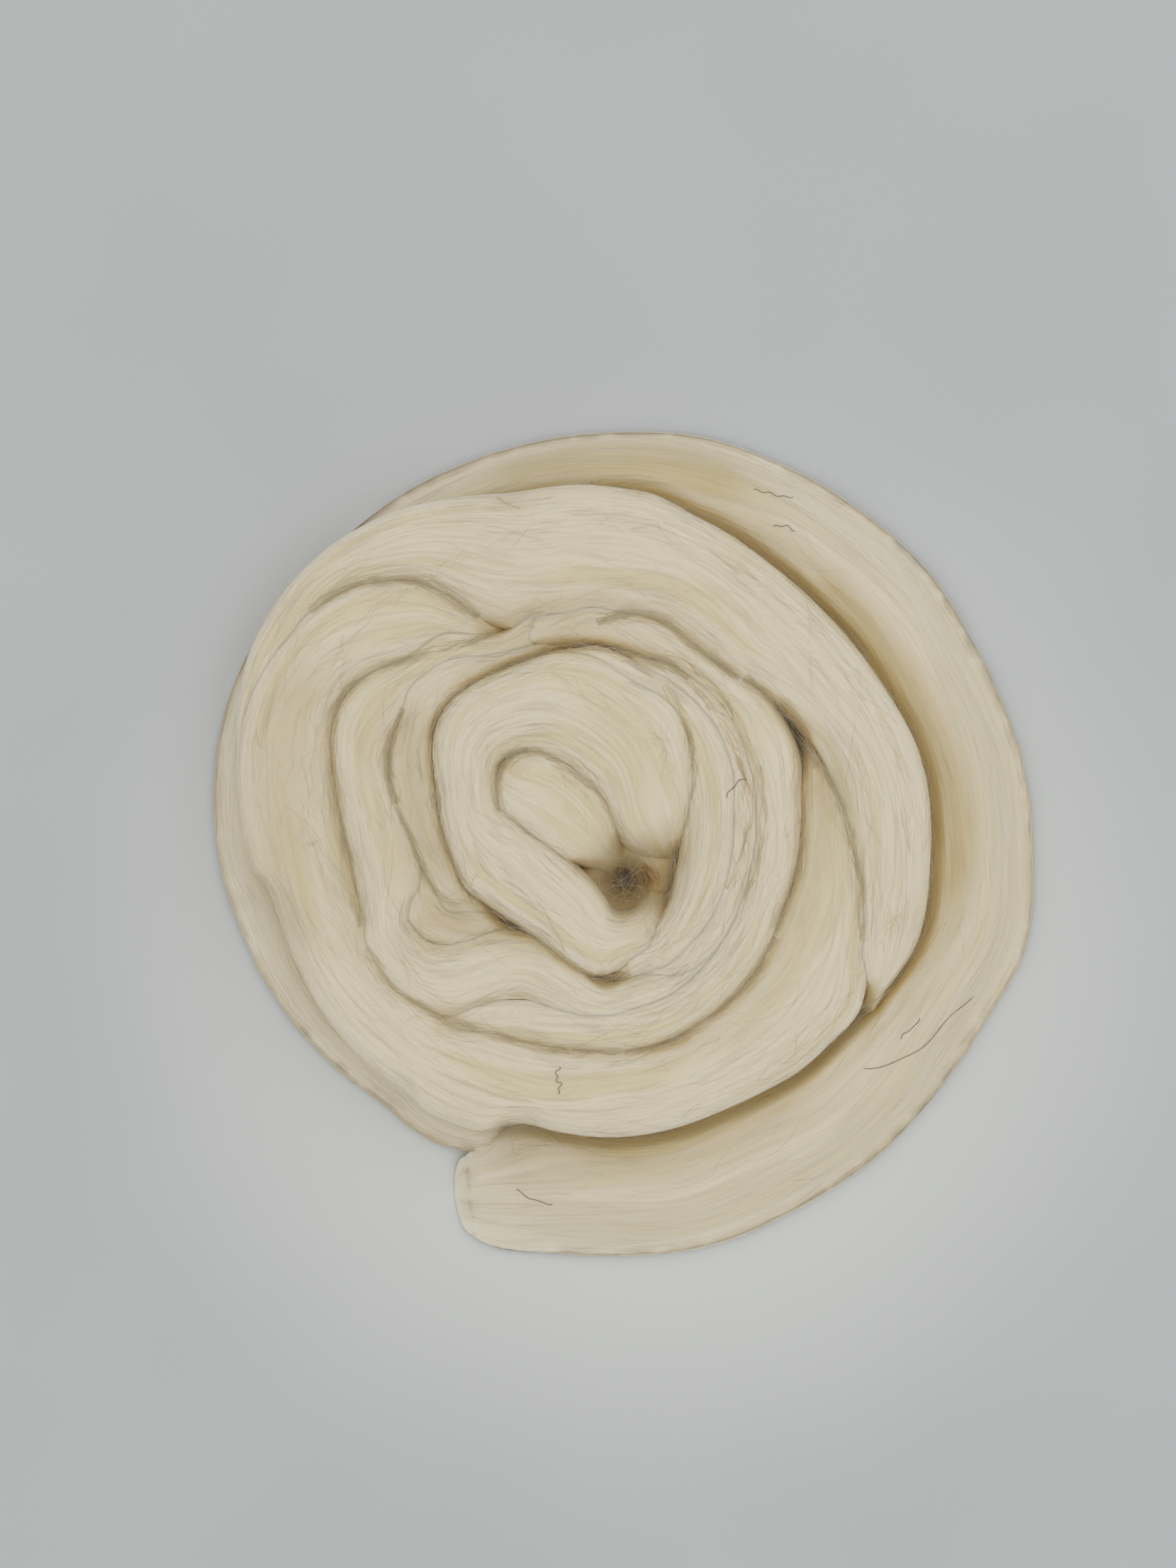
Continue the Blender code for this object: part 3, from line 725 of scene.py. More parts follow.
class Strand:
    """One turn of the roving: an oval strand laid along its rows."""

    STEP = 1.8  # mm between sections
    SMOOTHING = 3.0  # mm over which small kinks are eased
    GIRTH = 1.595  # way round a section, in its width and thickness together
    UNFOLDING = 40  # rounds in which sections that bunch up are eased apart
    BUNCHED = 0.5  # sections closer than this share of their distance bunch up
    END_RINGS = 6
    END_ANGLES = (15, 85)  # degrees round the end's curve
    END_DEPTH = 0.55  # how far an end reaches out, in its height
    END_DIVE = 1.1  # how far it turns down, in its reach
    TIP = 5.0  # mm that the torn end runs out over
    FEATHERED = 2.4  # how gently the outermost turn's loose flank runs out
    HEM = 0.9  # mm: height of its outer edge
    LOCK = (70.0, 8.0, 0.17)  # length, width and height of the broad locks, in mm
    WISP = (40.0, 3.4, 0.03)
    VALLEY = (85.0, 7.0, 0.05)  # spacing lengthwise, spacing across, depth
    VALLEY_WIDTH = 0.16  # in its spacing across
    VALLEY_STRETCH = 45.0  # mm over which valleys come and go
    WANDER = (60.0, 0.02)  # mm along, and share of the way round that locks wander
    LEAST_KNOTS = 4
    LEVEL_ENDS = 12.0  # mm over which the locks fade out at both ends

    def __init__(self, name: str, turn: Turn, seed: int, torn: bool = False) -> None:
        """Lay the strand.

        Args:
            name: the turn's name.
            turn: its rows and fineness.
            seed: for its locks.
            torn: whether its first end is a torn, feathered one.
        """
        self.name = name
        self.sides = turn.build.value
        self.lean = math.radians(turn.lean)
        self.rng = np.random.default_rng(seed)
        self.torn = torn
        self.rows = self.eased(turn.rows)
        self.run = run_of(self.rows)
        self.girth = self.GIRTH * float(np.mean(self.rows[:, WIDTH:].sum(axis=1)))
        self.grid = self.laid()
        self.outward = self.normals(self.grid)
        self.tucked = np.zeros((*self.grid.shape[:2], 1))

    def eased(self, rows: Sequence[Row]) -> np.ndarray:
        """The rows joined by a Catmull-Rom curve and eased.

        Args:
            rows: the turn's own rows.

        Returns:
            One row of x, y, top, width and thick for each section.
        """
        knots = np.array(rows, float)
        knots = np.vstack([2 * knots[0] - knots[1], knots, 2 * knots[-1] - knots[-2]])
        found = []
        for a, b, c, d in zip(knots, knots[1:], knots[2:], knots[3:]):
            count = max(2, round(float(np.hypot(*(c - b)[:2])) / self.STEP))
            for share in np.arange(count) / count:
                bend = 2 * a - 5 * b + 4 * c - d + share * (3 * b - 3 * c + d - a)
                found.append(b + 0.5 * share * (c - a + share * bend))
        found.append(knots[-2])
        return smoothed(np.array(found), self.SMOOTHING / self.STEP)

    def laid(self) -> np.ndarray:
        """Lay the strand's surface, with its locks and furrows pressed in.

        Returns:
            The surface as sections by sides by coordinates, in millimetres.
        """
        x, y, top, width, thick = self.rows.T
        ahead = np.gradient(self.rows[:, :2], axis=0)
        way = unit(np.column_stack([ahead, np.zeros(len(ahead))]))
        across = np.column_stack([leftward(way), np.zeros(len(way))])
        out = unit(self.rows[:, :2] - EYE)
        tilt = (self.lean * (across[:, :2] * out).sum(axis=1))[:, None]
        angle = 2 * math.pi * (np.arange(self.sides) + 0.5) / self.sides - math.pi / 2
        reach, lift = (np.sign(part) * np.abs(part) ** FULLNESS
                       for part in (np.cos(angle), np.sin(angle)))
        sideways = across * np.cos(tilt) + [0, 0, 1] * np.sin(tilt)
        upward = -across * np.sin(tilt) + [0, 0, 1] * np.cos(tilt)
        middle = np.column_stack([x, y, top - thick / 2])
        points = (
            middle[:, None]
            + sideways[:, None] * (width[:, None] / 2 * reach)[..., None]
            + upward[:, None] * (thick[:, None] / 2 * lift)[..., None]
        )
        if self.torn:
            points = self.feathered(points, middle, angle)
        points = self.unfolded(points, way)
        points = points + self.normals(points) * self.relief(points)[..., None]
        points[..., 2] = np.maximum(points[..., 2], 0.0)
        return points

    def feathered(self, points: np.ndarray, middle: np.ndarray, angle: np.ndarray) -> np.ndarray:
        """Let the outer flank run out gently to a thin hem.

        Args:
            points: the plain oval sections.
            middle: the middle of each.
            angle: where each side is on its section.

        Returns:
            The sections with their loose flank.
        """
        top = self.rows[:, TOP, None]
        loose = (np.cos(angle) < 0) & (np.sin(angle) > 0)
        fall = np.abs(np.sin(angle)) ** self.FEATHERED
        spread = np.abs(np.cos(angle)) / np.abs(np.cos(angle)) ** FULLNESS
        soft = middle[:, None] + (points - middle[:, None]) * spread[:, None]
        soft[..., 2] = self.HEM + (top - self.HEM) * fall
        return np.where(loose[:, None], soft, points)

    def unfolded(self, points: np.ndarray, way: np.ndarray) -> np.ndarray:
        """Ease the inside of tight bends, where sections would pass through each other.

        Args:
            points: the surface as sections by sides.
            way: the direction of the strand at each section.

        Returns:
            The eased surface.
        """
        for _ in range(self.UNFOLDING):
            ahead = np.gradient(points, axis=0)
            pace = np.einsum("ijk,ik->ij", ahead, way) / self.STEP
            pull = np.clip(self.BUNCHED - pace, 0.0, 0.5)[1:-1, :, None]
            between = (points[:-2] + points[2:]) / 2
            points[1:-1] += pull * (between - points[1:-1])
        return points

    def normals(self, points: np.ndarray) -> np.ndarray:
        """Find the outward direction at each point of a surface.

        Args:
            points: the surface as sections by sides.

        Returns:
            The directions, of length one.
        """
        along = np.gradient(points, axis=0)
        around = np.roll(points, -1, axis=1) - np.roll(points, 1, axis=1)
        return unit(np.cross(around, along))

    def relief(self, points: np.ndarray) -> np.ndarray:
        """Work out how far each point stands out from the plain oval.

        Args:
            points: the plain surface as sections by sides.

        Returns:
            The height at each point, in millimetres.
        """
        share = np.arange(self.sides) / self.sides
        run = self.run[:, None]
        length, aside = self.WANDER
        wander = lumps(self.rng, self.run / length, np.zeros(len(self.run)),
                       self.LEAST_KNOTS)[:, None] * aside
        total = np.zeros(points.shape[:2])
        fields = []
        for length, spacing, height in (self.LOCK, self.WISP, self.VALLEY):
            knots = max(self.LEAST_KNOTS, round(self.girth / spacing))
            field = lumps(self.rng, run / length, (share + wander) % 1 * knots, knots)
            fields.append((field, height))
        for field, height in fields[:2]:
            total += height * field
        field, deep = fields[2]
        mask = lumps(self.rng, run / self.VALLEY_STRETCH, share * self.LEAST_KNOTS + 0 * run,
                     self.LEAST_KNOTS)
        total -= deep * np.clip(mask, 0.0, 1.2) * np.exp(-(field / self.VALLEY_WIDTH) ** 2)
        for furrow in FURROWS:
            if furrow.turn == self.name:
                total -= furrow.depth_at(points)
        ends = np.minimum(run, self.run[-1] - run) / self.LEVEL_ENDS
        return total * np.clip(ends, 0.0, 1.0)

    def piece(self) -> Object:
        """Make the strand a closed piece with its own map.

        Returns:
            The piece.
        """
        nose = self.closed_end(self.grid[0], self.grid[1])[::-1]
        rings = np.concatenate([nose, self.grid, self.closed_end(self.grid[-1], self.grid[-2])])
        count, sides = rings.shape[:2]
        points = rings.reshape(-1, 3)
        first, last = len(points), len(points) + 1
        points = np.vstack([points, rings[0].mean(axis=0), rings[-1].mean(axis=0)])
        around, base = np.arange(sides), (count - 1) * sides
        after = (around + 1) % sides
        start = np.stack([np.full(sides, first), after, around], axis=-1)
        end = np.stack([np.full(sides, last), base + around, base + after], axis=-1)
        quads = ring_faces(count, sides)
        piece = make_mesh(self.name, points, quads.tolist() + start.tolist() + end.tolist())
        keep_grain(piece.data, self.grain(count))
        return piece

    def grain(self, count: int) -> np.ndarray:
        """Map the piece's faces, in the order in which it has them.

        Args:
            count: how many rings the piece has.

        Returns:
            The place along and round the strand at each corner of each face.
        """
        sides, extra = self.sides, self.END_RINGS
        run = np.concatenate([np.arange(-extra, 0) * self.STEP, self.run,
                              self.run[-1] + np.arange(1, extra + 1) * self.STEP])
        ring, side = np.meshgrid(np.arange(count - 1), np.arange(sides), indexing="ij")
        around = np.arange(sides + 1) / sides * self.girth
        corner = [(ring, side), (ring, side + 1), (ring + 1, side + 1), (ring + 1, side)]
        flat = np.stack([np.stack([run[r], around[s]], axis=-1) for r, s in corner], axis=2)
        caps = []
        for place, order in ((0, (0.5, 1, 0)), (count - 1, (0.5, 0, 1))):
            for column in range(sides):
                caps += [(run[place], (column + part) / sides * self.girth) for part in order]
        return np.concatenate([flat.ravel(), np.ravel(caps)])

    def closed_end(self, ring: np.ndarray, before: np.ndarray) -> np.ndarray:
        """Round off an end.

        Args:
            ring: the strand's last section.
            before: the section before it.

        Returns:
            Ever smaller rings beyond the last section.
        """
        middle = ring.mean(axis=0)
        way = unit(middle - before.mean(axis=0))
        deep = self.TIP if self.torn else self.END_DEPTH * float(np.ptp(ring[:, 2]))
        dive = np.array([0.0, 0.0, 0.0 if self.torn else -self.END_DIVE * deep])
        rings = []
        for angle in np.radians(np.linspace(*self.END_ANGLES, self.END_RINGS)):
            small = middle + (ring - middle) * math.cos(angle) + way * deep * math.sin(angle)
            small += dive * (1 - math.cos(angle))
            if self.torn:
                small[:, 2] = ring[:, 2] * (1 - math.sin(angle))
            small[:, 2] = np.maximum(small[:, 2], 0.0)
            rings.append(small)
        return np.array(rings)

    def take_shelter(self, found: np.ndarray) -> None:
        """Keep the painted crease shade, how close the surface's neighbours are, for the fibres on
        it.

        Args:
            found: the closeness at each corner of the strand's piece.
        """
        first = self.END_RINGS * self.sides
        size = self.grid.shape[0] * self.sides
        self.tucked = found[first:first + size].reshape(*self.grid.shape[:2], 1)

    def at(self, place: np.ndarray, share: np.ndarray) -> tuple[np.ndarray, ...]:
        """Points of the surface, the outward directions and the closeness there.

        Args:
            place: how far along the strand, in millimetres.
            share: how far round it, from 0 at the bottom to 1.

        Returns:
            The points, the directions and the closeness.
        """
        row = np.interp(place, self.run, np.arange(len(self.run)))
        row = np.clip(row, 0, len(self.run) - JUST_INSIDE)
        column = (share % 1) * self.sides - 0.5
        first, side = np.floor(row).astype(int), np.floor(column).astype(int)
        low, near = (row - first)[..., None], (column - side)[..., None]
        found = []
        for values in (self.grid, self.outward, self.tucked):
            start, end = ((1 - near) * values[at, side % self.sides]
                          + near * values[at, (side + 1) % self.sides]
                          for at in (first, first + 1))
            found.append((1 - low) * start + low * end)
        return found[0], unit(found[1]), found[2][..., 0]

    def above(self, place: np.ndarray, off: np.ndarray) -> np.ndarray:
        """Places in plan, from how far along the strand and how far aside of its middle.

        Args:
            place: how far along the strand, in millimetres.
            off: how far to the left of its middle line, in millimetres.

        Returns:
            The x and y of each place.
        """
        way = unit(on_line(place, self.run, np.gradient(self.rows[:, :2], axis=0)))
        return on_line(place, self.run, self.rows) + leftward(way) * off[..., None]


@dataclass(frozen=True)
class OpenCrease:
    """A crease that stays open: its line seen from above, and how open it is."""

    FADE: ClassVar[float] = 9.0  # mm at each end
    LEAST: ClassVar[float] = 0.35  # how open its very ends are, as a share of the middle

    share: float
    width: float
    line: Line

    def openness(self, points: np.ndarray) -> np.ndarray:
        """How open the crease is at each point, fading out towards both of its ends.

        Args:
            points: places in millimetres, x and y first.

        Returns:
            The share, from 0 to 1.
        """
        nearest, run, whole = off_line(points, self.line)
        fade = np.clip(np.minimum(run, whole - run) / self.FADE, 0.0, 1.0)
        open_here = self.LEAST + (1 - self.LEAST) * fade
        return self.share * open_here * np.exp(-(nearest / self.width) ** 2)


# The creases that show as open lines, kept open in the surface and painted with warm shade:
# how open each is, its width in mm and its course.
OPEN_CREASES = [
    OpenCrease(0.88, 6.0, ((-12, 99), (7.5, 96.5), (14, 92), (25.5, 86.5), (35.5, 79.5),
        (44.5, 72.5), (54, 63.5), (62.5, 54), (71, 42), (77.5, 30.5), (81.5, 19), (83, 7),
        (83, -4.5), (82.5, -13.5), (80.5, -25.5), (73.5, -37), (65.5, -45), (59.5, -50.5))),
    OpenCrease(0.95, 3.5, ((-50, 38), (-46, 42), (-38, 46.5), (-27, 50.5), (-19, 53.9),
        (-12, 53.9), (0, 52.3), (10, 49.5), (17, 44))),
    OpenCrease(0.45, 2.5, ((4, 50), (15.8, 45), (22, 37.7), (26.4, 30), (29.5, 22.8), (31.7, 14),
        (32, 7.8), (30.7, 0.4), (28.9, -5.8), (25, -13))),
    OpenCrease(0.4, 2.5, ((8, 53), (14.6, 50), (22, 43.9), (28.2, 35.2), (33.2, 25.2),
        (35.7, 15.3), (36.3, 7.8), (35.7, 0.4), (33.8, -7), (30, -16))),
    OpenCrease(0.5, 3.0, ((8, 44), (11, 40), (14.6, 34), (16.4, 26.5), (17, 19), (15.8, 10),
        (13.9, 3), (12.3, -3.4), (11.4, -11), (9.6, -16), (5, -26))),
    OpenCrease(0.8, 2.5, ((13, 0), (12, -5), (11, -12), (9, -17))),
    OpenCrease(0.6, 3.0, ((-52, 8), (-53.5, 20), (-53.9, 30), (-51, 37.5), (-46, 42))),
    OpenCrease(0.85, 3.0, ((-53, 15), (-50.7, 3), (-48.3, -4.6), (-45, -10.8), (-41, -16))),
    OpenCrease(0.8, 3.2, ((-44, -12), (-35, -19.5), (-29, -22.6), (-22.8, -27), (-16.5, -32),
        (-10, -35.7), (-5, -36.6), (1, -34))),
    OpenCrease(0.95, 2.8, ((-61, 38), (-62.3, 35), (-65, 29), (-65.8, 23), (-65, 16), (-63, 10))),
    OpenCrease(0.55, 3.0, ((-64, 13), (-61.3, 5), (-58.8, 0.4), (-56.3, -7), (-53.9, -12),
        (-50, -15.8), (-44, -16.5))),
    OpenCrease(0.65, 4.0, ((-35, 59), (-41, 56.3), (-50, 53.2), (-60, 50.7), (-70, 47.6),
        (-76, 43.3), (-80, 37.5), (-81.8, 30), (-81, 20), (-80, 13), (-78, 3), (-76, -6),
        (-74, -15), (-72, -24))),
    OpenCrease(0.7, 4.0, ((-88, 63), (-78.7, 69.4), (-70, 71.9), (-58.8, 72.3), (-52.6, 70),
        (-46.4, 65.7), (-40, 61))),
    OpenCrease(0.85, 3.5, ((-10, 60), (-3, 62.5), (3.4, 63), (9.6, 61.3), (17, 54), (24.5, 49),
        (30.7, 45))),
    OpenCrease(1.0, 3.5, ((30, 46), (37, 41), (40.7, 36.4), (44.4, 32.7), (48, 26.5), (52, 20))),
    OpenCrease(0.6, 3.5, ((48, 26.5), (52, 21.5), (55.6, 15.3), (59.3, 5.3), (61.2, -3.4),
        (63, -12), (63.7, -19.5), (63, -28))),
    OpenCrease(0.75, 3.0, ((43, 34), (46.3, 25), (46.9, 15.3), (46.9, 6.6), (46.3, -2),
        (44.4, -10.8), (41.3, -18.3), (38, -25))),
    OpenCrease(0.95, 3.5, ((40, -24), (36, -30.7), (33.2, -35.7), (29.5, -39.4), (24.5, -44.4),
        (17, -50), (10.8, -53.1), (4.6, -55), (-3, -56.2))),
    OpenCrease(0.6, 3.0, ((-72, -27), (-70, -31), (-65, -38), (-57.5, -43.5), (-47.5, -48.3),
        (-35, -52), (-25, -54.4), (-13, -56), (0, -56))),
    OpenCrease(0.7, 4.5, ((-30.5, -76), (-24, -78.5), (-8, -81), (5, -80), (15, -77.5),
        (25, -73.5), (35.5, -69), (45.5, -63.5), (53, -57), (61.5, -48.5))),
    OpenCrease(0.25, 3.5, ((-61, -19), (-57, -24.5), (-50, -27.5), (-44, -25.5), (-35, -22))),
    OpenCrease(0.9, 2.8, ((-35, 8), (-35.8, 14), (-36, 20), (-33, 24.3), (-26, 25.8))),
    OpenCrease(0.55, 4.0, ((-36, 20), (-32.7, 24.3), (-26.5, 25.5), (-20.3, 24), (-14, 20),
        (-9, 15.3), (-5.3, 9), (-3.5, 3), (-2, -3))),
    OpenCrease(0.4, 3.0, ((-35.5, 12), (-31.5, 6.6), (-25, 1.6), (-19, -2.7), (-12.8, -6.5),
        (-8, -8))),
    OpenCrease(1.0, 6.5, ((-8, -9), (-4, -10), (-1, -11), (3, -9), (6, -6))),
    OpenCrease(0.45, 3.5, ((-99.5, -13), (-92, -32), (-87, -42.5), (-80.5, -51.5), (-74, -59),
        (-61.5, -68.5))),
]

# Places in no crease that are painted with warm shade, where the wool lies deep or low beside
# higher wool.
PAINTED_SHADE_PLACES = [
    OpenCrease(0.36, 5.5, ((50, 77), (62, 63), (75, 47), (83, 33), (88, 18), (91, 6), (90, -6),
        (86, -20))),
    OpenCrease(0.35, 4.0, ((-20, -84), (0, -86), (20, -80), (40, -71), (56, -58))),
    OpenCrease(0.25, 6.0, ((-57, -12), (-52, -18), (-46, -20), (-38, -21))),
    OpenCrease(0.15, 9.0, ((-90, -32), (-94, -10), (-95, 12), (-93, 34), (-86, 50))),
    OpenCrease(0.3, 8.0, ((-40, 100), (-15, 106), (10, 106), (35, 97))),
    OpenCrease(0.2, 5.0, ((-58, 40), (-60, 28), (-59, 14), (-55, 0), (-49, -10))),
    OpenCrease(0.6, 5.0, ((12, 2), (11, -4), (9, -9))),
]


class Chart:
    """The wool as seen from above: its height at every place in plan."""

    CELL = 0.8  # mm
    HALF = 124.0  # mm from the middle to the edge of the map
    BRIDGE = 7.0  # mm: radius of the valley that the wool rounds a crease to

    def __init__(self, strands: Sequence[Strand]) -> None:
        """Map the height of the wool.

        Args:
            strands: the turns as they lie now.
        """
        corners, faces = [], []
        for strand in strands:
            faces += ring_faces(*strand.grid.shape[:2], len(corners)).tolist()
            corners += strand.grid.reshape(-1, 3).tolist()
        tree = BVHTree.FromPolygons(corners, faces)
        marks = np.arange(-self.HALF, self.HALF, self.CELL)
        hits = [[tree.ray_cast(Vector((x, y, SKY)), DOWN)[0] for y in marks] for x in marks]
        self.plan = np.stack(np.meshgrid(marks, marks, indexing="ij"), axis=-1)
        self.height = np.array([[hit.z if hit else 0.0 for hit in row] for row in hits])
        self.level = self.rounded(self.height)

    def rounded(self, height: np.ndarray) -> np.ndarray:
        """The height of the wool where no crease is tighter than a ball rolling over it.

        Args:
            height: the map of the turns as laid.

        Returns:
            The map with its creases rounded.
        """
        reach = round(self.BRIDGE / self.CELL)
        ball = {}
        for i in range(-reach, reach + 1):
            for j in range(-reach, reach + 1):
                off = math.hypot(i, j) * self.CELL
                if off < self.BRIDGE:
                    ball[i, j] = self.BRIDGE - math.sqrt(self.BRIDGE ** 2 - off ** 2)
        grown = height
        for way, drop in ball.items():
            grown = np.maximum(grown, np.roll(height, way, (0, 1)) - drop)
        found = grown
        for way, drop in ball.items():
            found = np.minimum(found, np.roll(grown, way, (0, 1)) + drop)
        return found

    def looked_up(self, field: np.ndarray, points: np.ndarray) -> np.ndarray:
        """A map's values at places in plan.

        Args:
            field: the map.
            points: places in millimetres, x and y first.

        Returns:
            The values, eased between the map's cells.
        """
        cell = (points[..., :2] + self.HALF) / self.CELL
        cell = np.clip(cell, 0, len(field) - JUST_INSIDE)
        low = np.floor(cell).astype(int)
        x, y = np.moveaxis(cell - low, -1, 0)
        i, j = np.moveaxis(low, -1, 0)
        near = (1 - x) * field[i, j] + x * field[i + 1, j]
        far = (1 - x) * field[i, j + 1] + x * field[i + 1, j + 1]
        return (1 - y) * near + y * far


class Drawing:
    """How the turns are drawn sideways until their creases lie on the crease lines."""

    STEP = 2.5  # mm between the places that look for their crease
    SPAN = 5.0  # mm to each side where they look
    LOOK = 0.5  # mm between the depths that they compare
    EASING = 1.5  # places over which their moves are evened out
    LEAST = 0.4  # mm: a crease shallower than this is not followed
    PULL = 5.0  # mm around a place that it draws along
    REST = 0.35  # how hard the wool stays where it is
    ROUNDS = 2

    def __init__(self, strands: Sequence[Strand]) -> None:
        """Draw the strands.

        Args:
            strands: the turns as they were laid.
        """
        for _ in range(self.ROUNDS):
            chart = Chart(strands)
            self.draw(strands, chart, self.pulls(chart))

    def pulls(self, chart: Chart) -> list[tuple[np.ndarray, np.ndarray, np.ndarray]]:
        """Find the crease near each line.

        Args:
            chart: the wool as it lies now.

        Returns:
            For each line the creases' places, the way each has to go, and its strength.
        """
        offs = np.arange(-self.SPAN, self.SPAN + self.LOOK / 2, self.LOOK)
        found = []
        for crease in OPEN_CREASES:
            line = np.array(crease.line, float)
            gone = run_of(line)
            places = smoothed(on_line(np.arange(0.0, gone[-1], self.STEP), gone, line), 1.0)
            across = leftward(unit(np.gradient(places, axis=0)))
            tried = places[:, None] + across[:, None] * offs[:, None]
            deep = chart.looked_up(chart.level - chart.height, tried)
            near = deep * np.exp(-(offs / self.SPAN) ** 2)
            best = offs[near.argmax(axis=1)]
            strength = np.clip(near.max(axis=1) / self.LEAST - 1, 0.0, 1.0)
            best = smoothed(best * strength, self.EASING)
            best = (best / (smoothed(strength, self.EASING) + 1e-3))[:, None]
            found.append((places + across * best, -across * best, strength))
        return found

    def draw(self, strands: Sequence[Strand], chart: Chart,
             pulls: Sequence[tuple[np.ndarray, np.ndarray, np.ndarray]]) -> None:
        """Draw every strand towards the lines.

        Args:
            strands: the turns.
            chart: the wool as it lies now.
            pulls: the creases' places, ways and strengths.
        """
        total = np.zeros(chart.plan.shape)
        weight = np.full(chart.height.shape, self.REST)
        for places, ways, strengths in pulls:
            for place, way, strength in zip(places, ways, strengths):
                off = np.square(chart.plan - place).sum(axis=-1)
                share = strength * np.exp(-off / self.PULL ** 2)
                total += share[..., None] * way
                weight += share
        moves = total / weight[..., None]
        for strand in strands:
            for points in (strand.grid, strand.rows):
                shift = [chart.looked_up(moves[..., axis], points) for axis in (0, 1)]
                points[..., :2] += np.stack(shift, axis=-1)
            strand.outward = strand.normals(strand.grid)


class Settling(Chart):
    """How the turns press together, which fills the creases between them."""

    REACH = 1.2  # mm over which the turns level out
    FILL = 0.95  # share of a crease that fills up
    SAG = 0.45  # share of a crest that sinks
    SKIN = 1.5  # mm: how deep the turns join where they press together
    TUCKED_IN = 0.05  # mm that the edge of a turn stays below its neighbour
    DEEP = 5.0  # mm below that skin, from where nothing moves
    OPEN = 0.2  # share of its depth that the most open crease keeps
    GROOVE = 1.2  # mm: a crease as deep as this gets the full painted warm shade
    STEP_SPAN = 4.0  # mm over which a step between low and high turns is looked for
    STEP_RISE = (8.0, 11.0)  # mm: creases at such a step stay as they are
    STEP_GAIN = 1.4  # keeps the middle of a step whole when its edges are softened
    SOFTENING = (1.5, 1.6)  # cells over which steps and grooves are softened

    def __init__(self, strands: Sequence[Strand]) -> None:
        """Map the height of the wool and how far it has to settle.

        Args:
            strands: the turns as they were drawn.
        """
        super().__init__(strands)
        level = self.evened(self.level, self.REACH / self.CELL)
        self.held = np.zeros(level.shape)
        for crease in OPEN_CREASES:
            self.held = np.maximum(self.held, crease.openness(self.plan))
        high, low = self.height, self.height
        around = ((1, 0), (-1, 0), (0, 1), (0, -1))
        for _ in range(round(self.STEP_SPAN / self.CELL)):
            high = np.max([high, *(np.roll(high, way, (0, 1)) for way in around)], axis=0)
            low = np.min([low, *(np.roll(low, way, (0, 1)) for way in around)], axis=0)
        least, most = self.STEP_RISE
        step = np.clip((high - low - least) / (most - least), 0.0, 1.0)
        step = np.clip(self.evened(step, self.SOFTENING[0]) * self.STEP_GAIN, 0.0, 1.0)
        gap = level - self.height
        groove = np.clip((self.level - self.height) / self.GROOVE, 0.0, 1.0)
        self.groove = self.evened(groove, self.SOFTENING[1])
        shut = 1 - self.OPEN * self.held
        rise = np.where(gap > 0, self.FILL * shut, self.SAG) * gap
        self.rise = rise * (1 - step)
        self.bond = shut * (1 - step)

    def evened(self, field: np.ndarray, reach: float) -> np.ndarray:
        """A map smoothed both ways."""
        return smoothed(smoothed(field, reach, axis=0), reach, axis=1)

    def settle(self, strand: Strand) -> None:
        """Move a strand's surface where it lies on top.

        Args:
            strand: the strand, which is changed.
        """
        under = self.looked_up(self.height, strand.grid) - strand.grid[..., 2]
        share = np.clip(1 - (under - self.SKIN) / self.DEEP, 0.0, 1.0)
        bond = self.looked_up(self.bond, strand.grid) * np.clip(under - self.TUCKED_IN, 0.0, None)
        strand.grid[..., 2] += share * (self.looked_up(self.rise, strand.grid) + bond)
        strand.grid[..., 2] = np.maximum(strand.grid[..., 2], 0.0)
        strand.outward = strand.normals(strand.grid)


